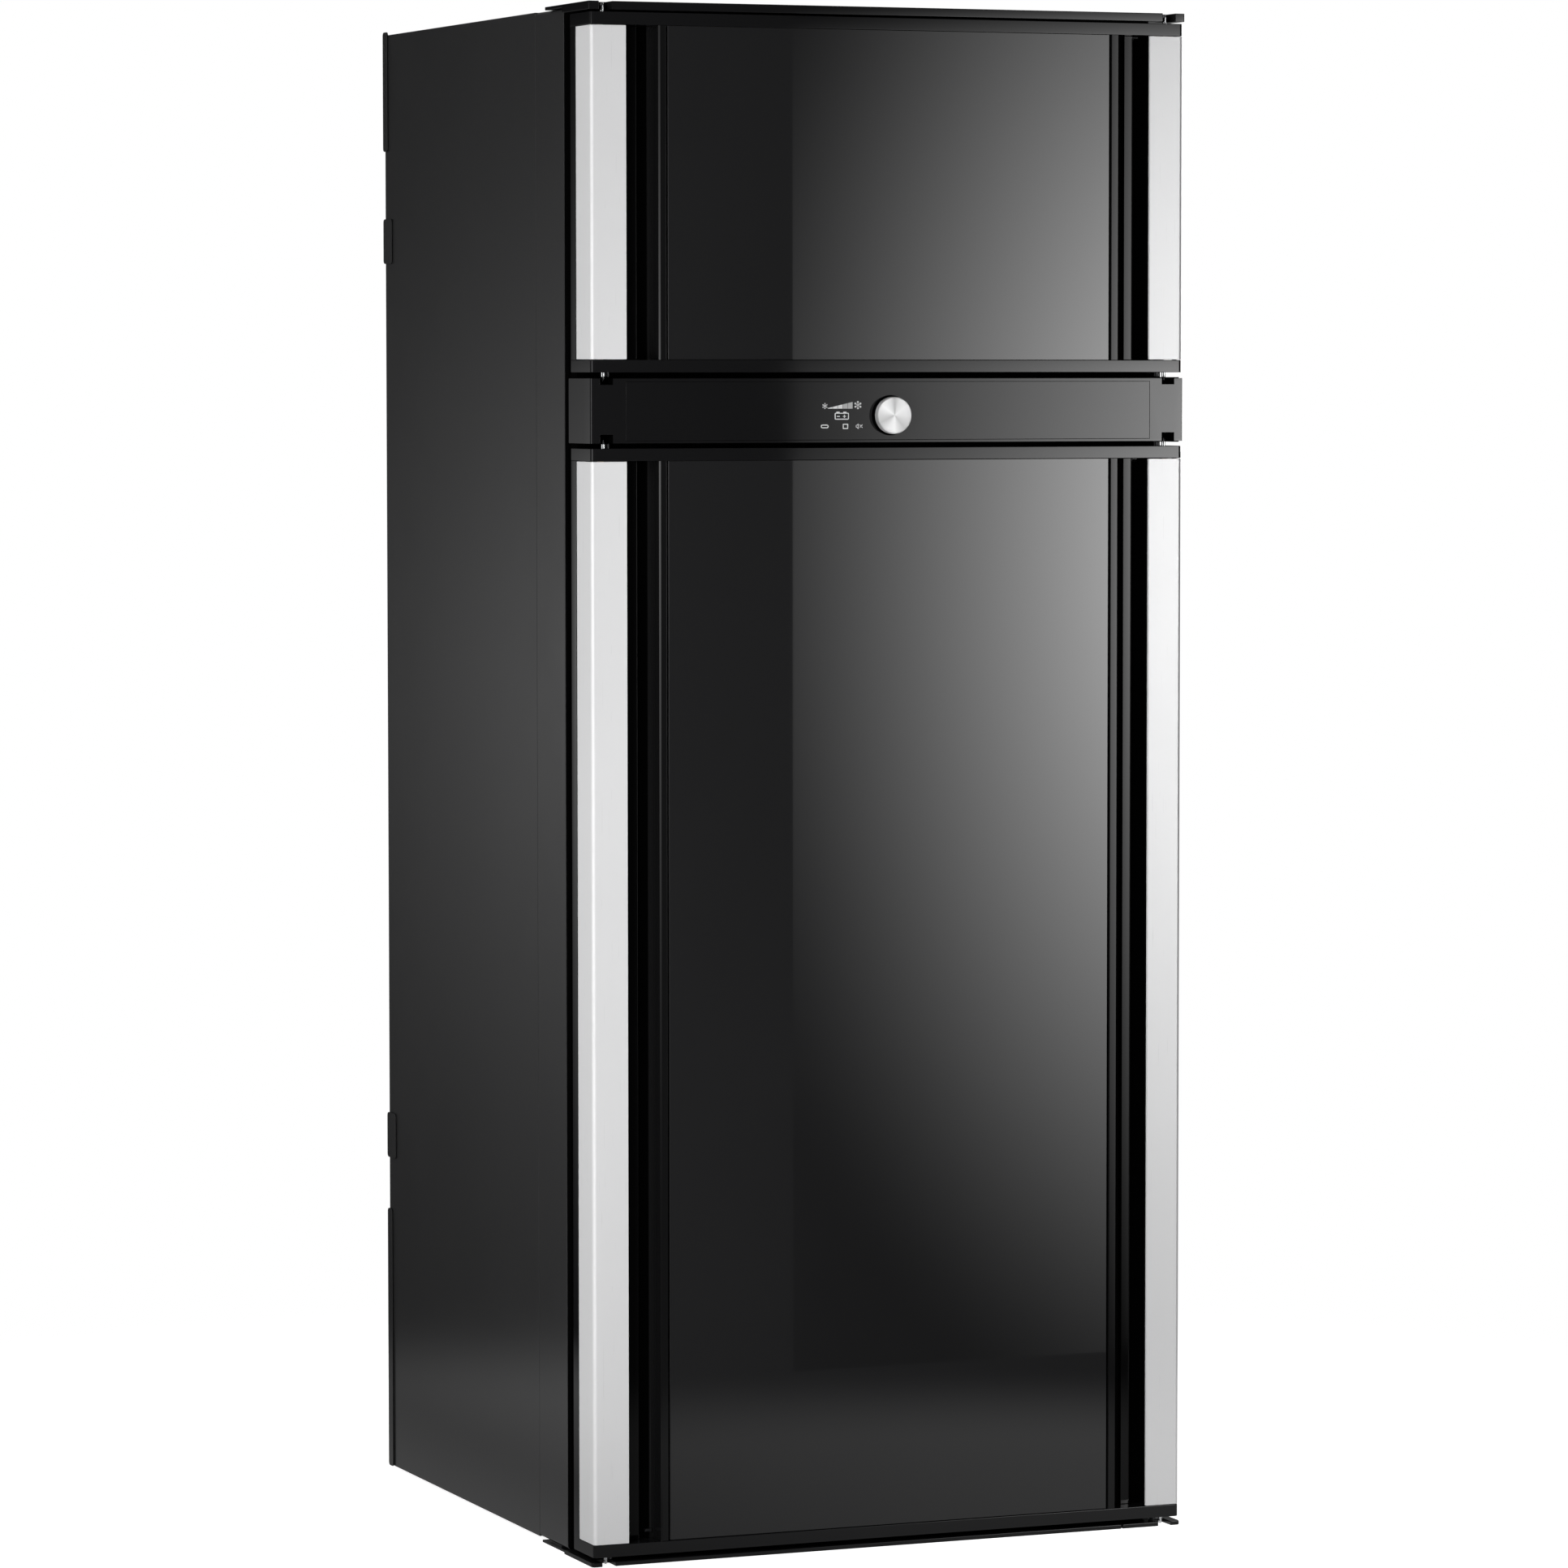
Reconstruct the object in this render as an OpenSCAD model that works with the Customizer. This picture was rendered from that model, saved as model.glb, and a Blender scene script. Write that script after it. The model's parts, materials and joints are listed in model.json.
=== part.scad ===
// Built-in two-door leisure refrigerator: freezer above, fridge below, each door opening
// from either side on retractable corner pins. Millimetres, +Z up, front towards -Y.
// The origin is under the middle of the whole object, on the floor of its niche.
// Depths in the modules are measured back from the front face of the doors.

/* [Overall] */
// Height over the hinge strips
height = 1245; // [1200:1:1300]
// Width over the hinge strips
strip_w = 519; // [510:1:530]
// Depth from the door fronts to the back of the machine tray
depth = 548; // [540:1:600]
// Width of the cabinet
cabinet_w = 514; // [505:1:518]
// Depth from the door fronts to the back edge of the side sheets
side_depth = 511; // [500:1:520]

/* [Doors] */
// Width of both doors
door_w = 516; // [508:1:520]
// Thickness of the doors without gasket
door_t = 47; // [42:1:50]
// Bottom of the fridge door
fridge_door_bottom = 7.3; // [6:0.1:10]
// Top of the fridge door
fridge_door_top = 892.7; // [880:0.1:894]
// Bottom of the freezer door
freezer_door_bottom = 952.8; // [951:0.1:960]
// Top of the freezer door
freezer_door_top = 1236.7; // [1230:0.1:1237]
// Height of the plastic cap across each end of a door
cap_h = 10; // [8:0.5:14]
// Half width of the glossy front panels
panel_half = 192.5; // [180:0.5:193]
// Thickness of the front panels
panel_t = 3; // [2:0.5:4]

/* [Handles and pins] */
// Width of a handle seen from the front
handle_w = 30; // [26:1:32]
// Depth of a handle's side leg
handle_side = 34; // [30:0.5:34]
// Wall of the handle extrusion
handle_wall = 2.2; // [1.8:0.1:2.6]
// Distance of the hinge pins from the middle
pin_x = 245.2; // [244:0.1:246]
// Depth of the hinge pins' axis
pin_d = 8.5; // [8:0.1:10]
// Radius of the hinge pins
pin_r = 1.7; // [1.5:0.1:2]

/* [Middle rail and control] */
// Underside of the middle rail
rail_bottom = 896.7; // [896:0.1:898]
// Top of the middle rail
rail_top = 948.1; // [946:0.1:949]
// Radius of the control knob
knob_r = 14.9; // [12:0.1:16]
// How far the knob stands out in front of the rail
knob_out = 9; // [6:0.5:12]
// Knob centre left of the middle
knob_x = -1.5; // [-10:0.1:10]
// Height of the knob's centre
knob_z = 918.4; // [916:0.1:924]

/* [Compartments] */
// Half width inside the liners
liner_half = 222; // [215:1:224]
// Depth of the liners' back walls
liner_back = 421; // [400:1:425]
// Floor and ceiling of the fridge compartment
fridge_z = [40, 870];
// Floor and ceiling of the freezer compartment
freezer_z = [975, 1205];
// Top of the step over the machine compartment
step_z = 265; // [255:1:280]
// Front of the step over the machine compartment
step_front = 317; // [300:1:330]

/* [Hidden] */
$fn = 48;
front_y = -(depth - knob_out) / 2;   // row-frame place of the door fronts
door_half = door_w / 2;
strip_half = strip_w / 2;
side_half = cabinet_w / 2;
corner_r = 2.3;                      // rounded upright edges of doors, handles and rail
running = 0.05;                      // radial clearance of every pin in its bore
frame_front = 62;                    // front face of the plastic front frame
frame_back = 130;                    // seam between the front frame and the steel sheet
frame_z = [3.8, height - 2.9];
frame_wall = 3;
sheet = 1;                           // steel sheet of the cabinet
liner_t = 2;
opening_half = liner_half + liner_t;
back_wall = 461;                     // rear face of the insulated body
machine_front = 349;                 // front wall of the machine compartment
machine_top = 233;
foam_gap = 0.1;                      // between the blocks of the insulation
gasket_z_inset = 6;
gasket_x = [228, 248];
gasket_back = 61.5;
recess_in = 200.3;                   // inner edge of the finger recess
recess_out = 237;
recess_floor = 20.5;
side_bar_in = 246;
side_bar_front = handle_side + 0.8;
handle_in = door_half - handle_w;
handle_gap = 0.4;
pivot_x = 253.5;                     // upright axis on which a handle tilts
pivot_d = 5.5;
pivot_r = 2;
latch_x = 240.3;                     // upright axis of the latch rods
latch_d = 13;
latch_r = 2.5;
notch_x = [239.7, 250.8];            // open slots that the pins swing into
notch_d = 16;
screw_z = [198, 622.7, 1047.4];
screw_d = 89;
screw_r = 2.5;
shelf_z = [265, 405, 560, 715];      // undersides of the four glass shelves
glass_t = 4;
shelf_front = 150;
shelf_back = 395;
ridge_half = 212;                    // outer face of the ridges on the door liners
ridge_in = 200;
fan_x = 97;                          // fan and condenser in the machine compartment
fan_z = 112;
compressor_x = -125;
compressor_d = 445;

// ---------- shared shapes ----------

// A block between two values on each axis
module box(x, y, z)
    translate([x[0], y[0], z[0]]) cube([x[1] - x[0], y[1] - y[0], z[1] - z[0]]);

module both_sides() {
    children();
    mirror([1, 0, 0]) children();
}

// Puts depths that start at the door fronts into the row frame
module placed() translate([0, front_y, 0]) children();

module upright(x, y, z, r) translate([x, y, z[0]]) cylinder(r = r, h = z[1] - z[0]);

// Upright hole for a pin of radius r
module socket(x, y, z, r)
    translate([x, y, z[0]]) rotate(37) cylinder(r = r + running, h = z[1] - z[0]);

module fore_aft(x, y, z, r)
    translate([x, y[0], z]) rotate([-90, 0, 0]) cylinder(r = r, h = y[1] - y[0]);

module crosswise(x, y, z, r)
    translate([x[0], y, z]) rotate([0, 90, 0]) cylinder(r = r, h = x[1] - x[0]);

// Plan of a bar whose two front corners are rounded
module rounded_front_plan(half, y, r) {
    translate([-half, y[0] + r]) square([2 * half, y[1] - y[0] - r]);
    translate([r - half, y[0]]) square([2 * (half - r), y[1] - y[0]]);
    for (side = [-1, 1]) translate([side * (half - r), y[0] + r]) circle(r = r);
}

// Rounded rectangle from low corner to size
module rounded_rect(size, r) {
    translate([r, 0]) square([size[0] - 2 * r, size[1]]);
    translate([0, r]) square([size[0], size[1] - 2 * r]);
    for (x = [r, size[0] - r], y = [r, size[1] - r]) translate([x, y]) circle(r = r);
}

// An upright ring between two rectangles, from depth y[0] to y[1]
module ring(half, z, inner_half, inner_z, y)
    difference() {
        box([-half, half], y, z);
        box([-inner_half, inner_half], [y[0] - 1, y[1] + 1], inner_z);
    }

// Open slots for the pins, seen from above, to be cut out of a strip or rail
module pin_notches(z) both_sides() box(notch_x, [-1, notch_d], z);

// ---------- cabinet ----------

module outer_wrapper() color("#2f2f2f") placed() {
    seam = frame_back + 0.4;
    both_sides() {
        box([side_half - sheet, side_half], [seam, side_depth], frame_z);
        box([side_half - 14, side_half - 0.5], [side_depth - sheet, side_depth],
            [machine_top + 8, frame_z[1]]);
    }
    box([-side_half + 0.5, side_half - 0.5], [seam, side_depth],
        [frame_z[1] - sheet, frame_z[1]]);
    box([-side_half + 0.5, side_half - 0.5], [seam, machine_front - 1],
        [frame_z[0], frame_z[0] + sheet]);
}

module back_panel() color("#3a3a3a") placed() {
    half = side_half - sheet - 0.2;
    top = frame_z[1] - sheet - 0.2;
    box([-half, half], [back_wall, back_wall + sheet], [machine_top, top]);
    box([-half, half], [machine_front, back_wall + sheet],
        [machine_top - sheet, machine_top]);
    box([-half, half], [machine_front, machine_front + sheet],
        [frame_z[0] + sheet + 0.2, machine_top]);
}

module frame_openings(y, grow = 0) {
    half = opening_half + grow;
    for (z = [fridge_z, freezer_z])
        box([-half, half], y, [z[0] - liner_t - grow, z[1] + liner_t + grow]);
}

module front_frame() color("#1d1d1f") placed() difference() {
    box([-side_half, side_half], [frame_front, frame_back], frame_z);
    box([-side_half + frame_wall, side_half - frame_wall],
        [frame_front + frame_wall, frame_back + 1],
        [frame_z[0] + frame_wall, frame_z[1] - frame_wall]);
    frame_openings([frame_front - 1, frame_back + 1]);
    both_sides() for (z = screw_z) {
        crosswise([side_half - 1.7, side_half + 1], screw_d, z, 12.5);
        crosswise([side_half - 4, side_half], screw_d, z, 7.2);
    }
}

// The insulation as separate blocks round the two liners, a hair apart from each other
module foam_body() color("#d9c98a") placed() difference() {
    union() {
        foam_ring([frame_front + frame_wall, frame_back + 0.9], side_half - frame_wall,
                  [frame_z[0] + frame_wall, frame_z[1] - frame_wall]);
        foam_ring([frame_back + 1, machine_front], side_half - sheet,
                  [frame_z[0] + sheet, frame_z[1] - sheet]);
        foam_rear();
    }
    both_sides() for (z = screw_z) crosswise([opening_half - 2, side_half], screw_d, z, 7.2);
}

// Side walls, roof, divider and floor between two depths
module foam_ring(y, half, z) {
    both_sides() box([opening_half, half], y, z);
    for (level = [[z[0], fridge_z[0] - liner_t],
                  [fridge_z[1] + liner_t, freezer_z[0] - liner_t],
                  [freezer_z[1] + liner_t, z[1]]])
        box([foam_gap - opening_half, opening_half - foam_gap], y, level);
}

// What lies above and in front of the machine compartment
module foam_rear() {
    half = side_half - sheet;
    inner = opening_half - foam_gap;
    y = [machine_front + foam_gap, back_wall];
    rear_y = [liner_back + liner_t, back_wall];
    top = frame_z[1] - sheet;
    both_sides() box([opening_half, half], y, [machine_top, top]);
    box([-inner, inner], y, [fridge_z[1] + liner_t, freezer_z[0] - liner_t]);
    box([-inner, inner], y, [freezer_z[1] + liner_t, top]);
    box([-inner, inner], rear_y,
        [step_z - liner_t, fridge_z[1] + liner_t - foam_gap]);
    box([-inner, inner], rear_y,
        [freezer_z[0] - liner_t + foam_gap, freezer_z[1] + liner_t - foam_gap]);
    box([-inner, inner], y, [machine_top, step_z - liner_t - foam_gap]);
    box([-inner, inner], [step_front + liner_t, machine_front],
        [fridge_z[0] - liner_t + foam_gap, step_z - liner_t - foam_gap]);
}

module liner_outside(z, stepped) {
    back = liner_back + liner_t;
    low = stepped ? step_z - liner_t : z[0] - liner_t;
    box([-opening_half, opening_half], [frame_front - 1, back], [low, z[1] + liner_t]);
    if (stepped)
        box([-opening_half, opening_half], [frame_front - 1, step_front + liner_t],
            [z[0] - liner_t, z[1] + liner_t]);
}

module liner_inside(z, stepped) {
    low = stepped ? step_z : z[0];
    box([-liner_half, liner_half], [frame_front - 2, liner_back], [low, z[1]]);
    if (stepped)
        box([-liner_half, liner_half], [frame_front - 2, step_front], z);
}

// Ledge on both side walls, with its top at z
module shelf_ledges(z, y)
    both_sides() box([liner_half - 9, liner_half + 0.5], y, [z - 5, z]);

module liner(z, stepped, ledges, ledge_y) difference() {
    union() {
        difference() {
            liner_outside(z, stepped);
            liner_inside(z, stepped);
            box([-side_half, side_half], [0, frame_front + 0.2], [0, height]);
        }
        for (shelf = ledges) shelf_ledges(shelf, ledge_y);
    }
    both_sides() for (hole = screw_z)
        crosswise([liner_half - 5, opening_half + 1], screw_d, hole, 7.2);
}

module freezer_liner() color("#f2f2f0") placed()
    liner(freezer_z, false, [1088], [92, 408]);

module fridge_liner() color("#f2f2f0") placed()
    liner(fridge_z, true, shelf_z, [shelf_front + 8.5, 300]);

module middle_rail() color("#1b1b1d") placed() difference() {
    union() {
        translate([0, 0, rail_bottom]) linear_extrude(rail_top - rail_bottom)
            rounded_front_plan(door_half + 0.5, [0, 50.5], 1.2);
        box([-245, 245], [50, frame_front], [rail_bottom + 6, rail_top - 6]);
    }
    difference() {
        box([-225, 225], [5, frame_front + 1], [rail_bottom + 9, rail_top - 9]);
        for (x = [-106, 106], z = [rail_bottom + 12, rail_top - 12])
            fore_aft(x, [4, 12], z, 3);
    }
    box([-229, 229], [-1, 2.7], [rail_bottom + 1.8, rail_top - 2.3]);
    fore_aft(knob_x, [0, 6], knob_z, 3.4);
    pin_notches([rail_bottom - 1, rail_bottom + 7]);
    pin_notches([rail_top - 6.2, rail_top + 1]);
}

module control_fascia() color("#222224") placed() difference() {
    box([-228.6, 228.6], [0, 2.6], [rail_bottom + 2.2, rail_top - 2.7]);
    fore_aft(knob_x, [-1, 4], knob_z, 3.4);
}

module control_board() color("#1f5c36") placed() difference() {
    union() {
        box([-112, 112], [12, 13.6], [rail_bottom + 9.6, rail_top - 9.6]);
        box([knob_x - 7, knob_x + 7], [5.4, 12], [knob_z - 7, knob_z + 7]);
        box([-62, -24], [6, 12], [knob_z - 10, knob_z + 14]);
        box([50, 90], [13.6, 22], [knob_z - 8, knob_z + 10]);
    }
    fore_aft(knob_x, [5, 14], knob_z, 3 + running);
}

module top_hinge_strip() color("#1b1b1d") placed() difference() {
    union() {
        translate([0, 0, height - 6.7]) linear_extrude(6.7)
            rounded_front_plan(strip_half, [0, 61.7], 1.2);
        box([-strip_half, strip_half], [61, 101], [height - 2.7, height]);
    }
    pin_notches([height - 8, height + 1]);
}

module bottom_hinge_strip() color("#1b1b1d") placed() difference() {
    union() {
        linear_extrude(3.4) rounded_front_plan(strip_half, [0, 66], 3);
        box([-246, 246], [60, 125], [0, 3.6]);
    }
    pin_notches([-1, 5]);
    box([206, 207.2], [-1, 12], [-1, 5]);
}

// Flanged screw sleeves through the side walls. Each bore opens inwards, and a thin
// membrane closes it outside until the screw goes in.
module side_screw_bushings() color("#262628") placed() both_sides()
    for (z = screw_z) difference() {
        union() {
            crosswise([side_half - 1.6, side_half - 0.1], screw_d, z, 12.2);
            crosswise([liner_half - 0.2, side_half - 1], screw_d, z, 7);
            crosswise([liner_half - 1.6, liner_half - 0.1], screw_d, z, 10);
        }
        crosswise([liner_half - 3, side_half - 1.8], screw_d, z, screw_r);
    }

// Angle over the rear edge of a side sheet, with rounded ends
module edge_angle(z, leg) {
    both_sides() {
        translate([side_half + 0.1, side_depth + 2.4 - leg, z[0]]) rotate([90, 0, 90])
            linear_extrude(1.3) rounded_rect([leg, z[1] - z[0]], 3);
        box([side_half - 16, side_half + 1.4], [side_depth + 0.2, side_depth + 2.4],
            [z[0] + 3, z[1] - 3]);
    }
}

module rear_edge_clips() color("#1d1d1f") placed() {
    edge_angle([1142.6, height - 0.3], 11.7);
    edge_angle([1046.5, 1084.8], 22);
    edge_angle([273.3, 312.3], 22);
    edge_angle([3.1, 228.6], 11.7);
}

module floor_clips() color("#151515") placed() both_sides() {
    box([247, side_half + 0.4], [72, 123], [0.2, 2.2]);
    box([247, side_half - 2], [84, 108], [2, 3.6]);
}

module rear_feet() color("#101010") placed() both_sides() {
    for (y = [372, 525]) upright(205, y, [0, 4.7], 14);
    upright(205, 230, [0, 3.7], 14);
}

// ---------- inside the compartments ----------

module freezer_evaporator() color("#b9bec2") placed() {
    box([-217, 217], [78, 416.5], [976, 977.6]);
    box([-217, 217], [415, 416.5], [976, 1192]);
}

module freezer_shelf() color("#e8e8e6") placed() difference() {
    box([-220, 220], [94, 404], [1088.2, 1092.2]);
    for (x = [-200 : 20 : 200])
        box([x - 8, x + 8], [104, 394], [1087, 1094]);
}

module fridge_evaporator() color("#c3c8cb") placed() {
    fins = 18;
    pitch = 20;
    box([-182, 182], [416, 418], [480, 760]);
    for (i = [0 : fins - 1])
        box([(i - (fins - 1) / 2) * pitch - 0.8, (i - (fins - 1) / 2) * pitch + 0.8],
            [404, 416.5], [486, 754]);
    for (x = [-150, 150], z = [500, 740]) fore_aft(x, [417, liner_back - 0.1], z, 5);
}

module glass_shelves() color("#bcd3d6", 0.5) placed()
    for (z = shelf_z)
        box([-219.5, 219.5], [shelf_front + 8, z == step_z ? 412 : shelf_back],
            [z + 0.1, z + glass_t]);

module shelf_trims() color("#d8dadb") placed()
    for (z = shelf_z) {
        back = z == step_z ? 412 : shelf_back;
        box([-219.5, 219.5], [shelf_front, shelf_front + 8], [z - 8, z + glass_t + 1]);
        box([-219.5, 219.5], [back, back + 4], [z + 0.1, z + glass_t + 12]);
    }

module interior_lamp() color("#f6f6f0") placed()
    box([-60, 60], [100, 126], [fridge_z[1] - 9, fridge_z[1] - 0.1]);

// Open box with a finger cut in its front wall
module crisper_drawer() color("#cfe0e4", 0.7) placed() difference() {
    box([-208, 208], [165, 400], [270.5, 392]);
    box([-205.5, 205.5], [168, 397.5], [273, 393]);
    box([-60, 60], [164, 170], [372, 393]);
}

// ---------- machine compartment ----------

module base_tray() color("#4a4d50") placed() difference() {
    box([-240, 240], [352, depth], [4.8, 24]);
    box([-238.5, 238.5], [350, depth - 1.5], [6.3, 25]);
}

module compressor() color("#18181a") placed() {
    r = 60;
    h = 128;
    edge = 26;
    translate([compressor_x, compressor_d, 27]) {
        rotate_extrude() {
            square([r - edge, h]);
            translate([0, edge]) square([r, h - 2 * edge]);
            for (z = [edge, h - edge]) translate([r - edge, z]) circle(r = edge);
            translate([0, h / 2 - 3]) square([r + 3, 6]);
        }
    }
    box([compressor_x - 98, compressor_x + 98], [compressor_d - 52, compressor_d + 52],
        [24, 28]);
}

module compressor_grommets() color("#0d0d0d") placed()
    for (x = [-84, 84], y = [-40, 40])
        upright(compressor_x + x, compressor_d + y, [6.4, 23.9], 11);

module controller_box() color("#2c2f33") placed() {
    box([compressor_x - 45, compressor_x + 45], [511, 540], [46, 126]);
    for (i = [0 : 5])
        box([compressor_x - 40 + 15 * i, compressor_x - 36 + 15 * i], [539, 545], [50, 122]);
}

// Flat coil between close fins, with the return bends of its tube at both ends
module condenser() color("#8d9093") placed() {
    x = [-28, 222];
    box([x[0] + 8, x[1] - 8], [408, 420], [30, 194]);
    for (i = [0 : 29])
        box([x[0] + 10 + 7.8 * i, x[0] + 11 + 7.8 * i], [398, 430], [28, 196]);
    for (end = [x[0] + 8, x[1] - 8], z = [50, 90, 130, 170])
        translate([end, 414, z]) rotate([90, 0, 0])
            rotate_extrude() translate([10, 0]) circle(r = 4);
}

module fan_shroud() color("#1a1a1a") placed() difference() {
    union() {
        difference() {
            box([fan_x - 62, fan_x + 62], [434, 460], [fan_z - 62, fan_z + 62]);
            fore_aft(fan_x, [433, 461], fan_z, 57);
        }
        for (a = [45 : 90 : 315]) translate([fan_x, 457, fan_z]) rotate([0, a, 0])
            translate([15, -2, -3]) cube([44, 4, 6]);
        fore_aft(fan_x, [452.6, 460], fan_z, 20);
        fore_aft(fan_x, [437, 453], fan_z, 2);
        for (x = [-50, 50]) box([fan_x + x - 9, fan_x + x + 9], [436, 458],
                                [6.4, fan_z - 60]);
    }
    for (x = [-52, 52], z = [-52, 52])
        fore_aft(fan_x + x, [433, 461], fan_z + z, 2.2);
}

module fan_impeller() color("#101010") placed() difference() {
    union() {
        fore_aft(fan_x, [436, 451], fan_z, 19);
        for (a = [0 : 360 / 7 : 359]) translate([fan_x, 443.5, fan_z]) rotate([0, a, 0])
            rotate([35, 0, 0]) translate([16, -1, -13]) cube([37, 2, 26]);
    }
    fore_aft(fan_x, [435, 451.5], fan_z, 2 + running);
}

module filter_dryer() color("#a9744a") placed() {
    upright(-218, 478, [60, 140], 9);
    translate([-218, 478, 140]) cylinder(r1 = 9, r2 = 3.5, h = 12);
    translate([-218, 478, 48]) cylinder(r1 = 3.5, r2 = 9, h = 12);
}

// Tube along straight runs, with a ball in each bend
module tube(points, r) {
    for (i = [0 : len(points) - 2]) {
        run = points[i + 1] - points[i];
        translate(points[i])
            rotate([0, acos(run[2] / norm(run)), atan2(run[1], run[0])])
                cylinder(r = r, h = norm(run));
    }
    for (i = [1 : len(points) - 2]) translate(points[i]) sphere(r = r);
}

module refrigerant_tubes() color("#a9744a") placed() {
    tube([[-150, compressor_d, 155.1], [-150, compressor_d, 205], [-150, 480, 205],
          [-150, 480, 300], [-150, back_wall + sheet + 0.1, 300]], 4);
    tube([[-100, compressor_d, 155.1], [-100, compressor_d, 210], [-60, compressor_d, 210],
          [-60, 414, 210], [10, 414, 210], [10, 414, 196.2]], 3);
    tube([[-218, 478, 152.2], [-218, 478, 320], [-218, back_wall + sheet + 0.1, 320]], 3);
    tube([[-22.5, 418.2, 39], [-22.5, 520, 39], [-232, 520, 39], [-232, 478, 39],
          [-218, 478, 39], [-218, 478, 47.8]], 3);
}

module terminal_block() color("#e6e2d6") placed() difference() {
    box([120, 200], [back_wall + sheet + 0.1, 482], [250, 276]);
    for (i = [0 : 3]) fore_aft(130 + 20 * i, [472, 483], 263, 4);
}

module drain_spout() color("#d5d5d0") placed() {
    start = back_wall + sheet + 0.1;
    fore_aft(0, [start, start + 3], 262, 14);
    fore_aft(0, [start + 3, start + 27], 262, 5);
}

// ---------- control ----------

module encoder_shaft() color("#9a9da0") placed() {
    fore_aft(knob_x, [-6.5, 11], knob_z, 3);
}

module control_knob() color("#d9dadb") placed() difference() {
    translate([knob_x, -knob_out, knob_z]) rotate([-90, 0, 0]) union() {
        cylinder(r1 = knob_r - 0.7, r2 = knob_r, h = 0.7);
        translate([0, 0, 0.7]) cylinder(r = knob_r, h = knob_out - 2.5);
    }
    fore_aft(knob_x, [-7, 0], knob_z, 3 + running);
}

// ---------- doors ----------

// Perimeter frame: a cap across each end and a bar behind each handle
module door_frame(bottom, top, through_top) color("#19191b") placed() difference() {
    union() {
        for (z = [bottom, top - cap_h]) translate([0, 0, z])
            linear_extrude(cap_h) rounded_front_plan(door_half, [0, door_t], corner_r);
        both_sides() box([side_bar_in, door_half], [side_bar_front, door_t],
                         [bottom, top]);
    }
    both_sides() {
        socket(pin_x, pin_d, [bottom - 1, bottom + 9], pin_r);
        socket(pin_x, pin_d, [top - 9, top + 1], pin_r);
        socket(pivot_x, pivot_d, [bottom + 3.5, bottom + cap_h + 1], pivot_r);
        socket(pivot_x, pivot_d, [top - cap_h - 1, top - 3.5], pivot_r);
        socket(latch_x, latch_d, [bottom - 1, bottom + cap_h + 1], latch_r);
        socket(latch_x, latch_d, [top - cap_h - 1, through_top ? top + 1 : top - 4],
               latch_r);
    }
}

module door_core(bottom, top) color("#d9c98a") placed() {
    z = [bottom + cap_h + 0.1, top - cap_h - 0.1];
    difference() {
        union() {
            box([-recess_in + 0.1, recess_in - 0.1], [panel_t + 1.3, 44.8], z);
            box([-recess_out, recess_out], [recess_floor + 2.1, 44.8], z);
            box([-side_bar_in + 0.2, side_bar_in - 0.2], [30.5, 44.8], z);
        }
        both_sides() box([193.9, 204], [0, recess_floor + 2.1], [bottom, top]);
    }
}

// Sheet behind the core with raised ridges that hold the bins and fill the opening
module door_liner(bottom, top, ridge_z, ridge_d) color("#f2f2f0") placed() {
    box([-side_bar_in + 0.1, side_bar_in - 0.1], [45, door_t],
        [bottom + cap_h + 0.1, top - cap_h - 0.1]);
    both_sides() box([ridge_in, ridge_half], [door_t - 0.5, ridge_d], ridge_z);
    for (z = [ridge_z[0], ridge_z[1] - 8])
        box([-ridge_half, ridge_half], [door_t - 0.5, 68], [z, z + 8]);
}

module door_gasket(bottom, top) color("#2a2a2c") placed()
    ring(gasket_x[1], [bottom + gasket_z_inset, top - gasket_z_inset],
         gasket_x[0], [bottom + gasket_z_inset + 20, top - gasket_z_inset - 20],
         [door_t + 0.1, gasket_back]);

module front_panel(bottom, top) color("#0c0c0e") placed()
    box([-panel_half, panel_half], [1, 1 + panel_t],
        [bottom + cap_h + 0.1, top - cap_h - 0.1]);

// Moulded channel beside a handle, with the rim that holds the front panel
module recess_profiles(bottom, top) color("#141416") placed() both_sides() {
    z = [bottom + cap_h + 0.1, top - cap_h - 0.1];
    box([194.1, recess_in], [0.6, recess_floor + 2], z);
    box([recess_in - 0.1, recess_out], [recess_floor, recess_floor + 2], z);
    box([recess_out - 1.5, recess_out], [2.7, recess_floor + 1], z);
    box([213.1, 221], [17.3, recess_floor + 0.5], z);
    box([220.5, 225.5], [17.3, recess_floor + 0.5], [z[1] - 3, z[1]]);
}

// Pin standing out of a door's end, up or down: a straight shank and a pointed tip
module pin(z, up, shank, tip) translate([pin_x, pin_d, z]) mirror([0, 0, up ? 0 : 1]) {
    translate([0, 0, -8.8]) cylinder(r = pin_r, h = 8.8 + shank);
    translate([0, 0, shank]) cylinder(r1 = pin_r, r2 = 0.8, h = tip);
}

module freezer_pins() color("#c9ccce") placed() {
    pin(freezer_door_bottom, false, 3.4, 3.1);
    pin(freezer_door_top, true, 5.2, 2.4);
}

module fridge_pins() color("#c9ccce") placed() {
    pin(fridge_door_bottom, false, 4.3, 2);
    pin(fridge_door_top, true, 3.4, 3.1);
}

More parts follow.
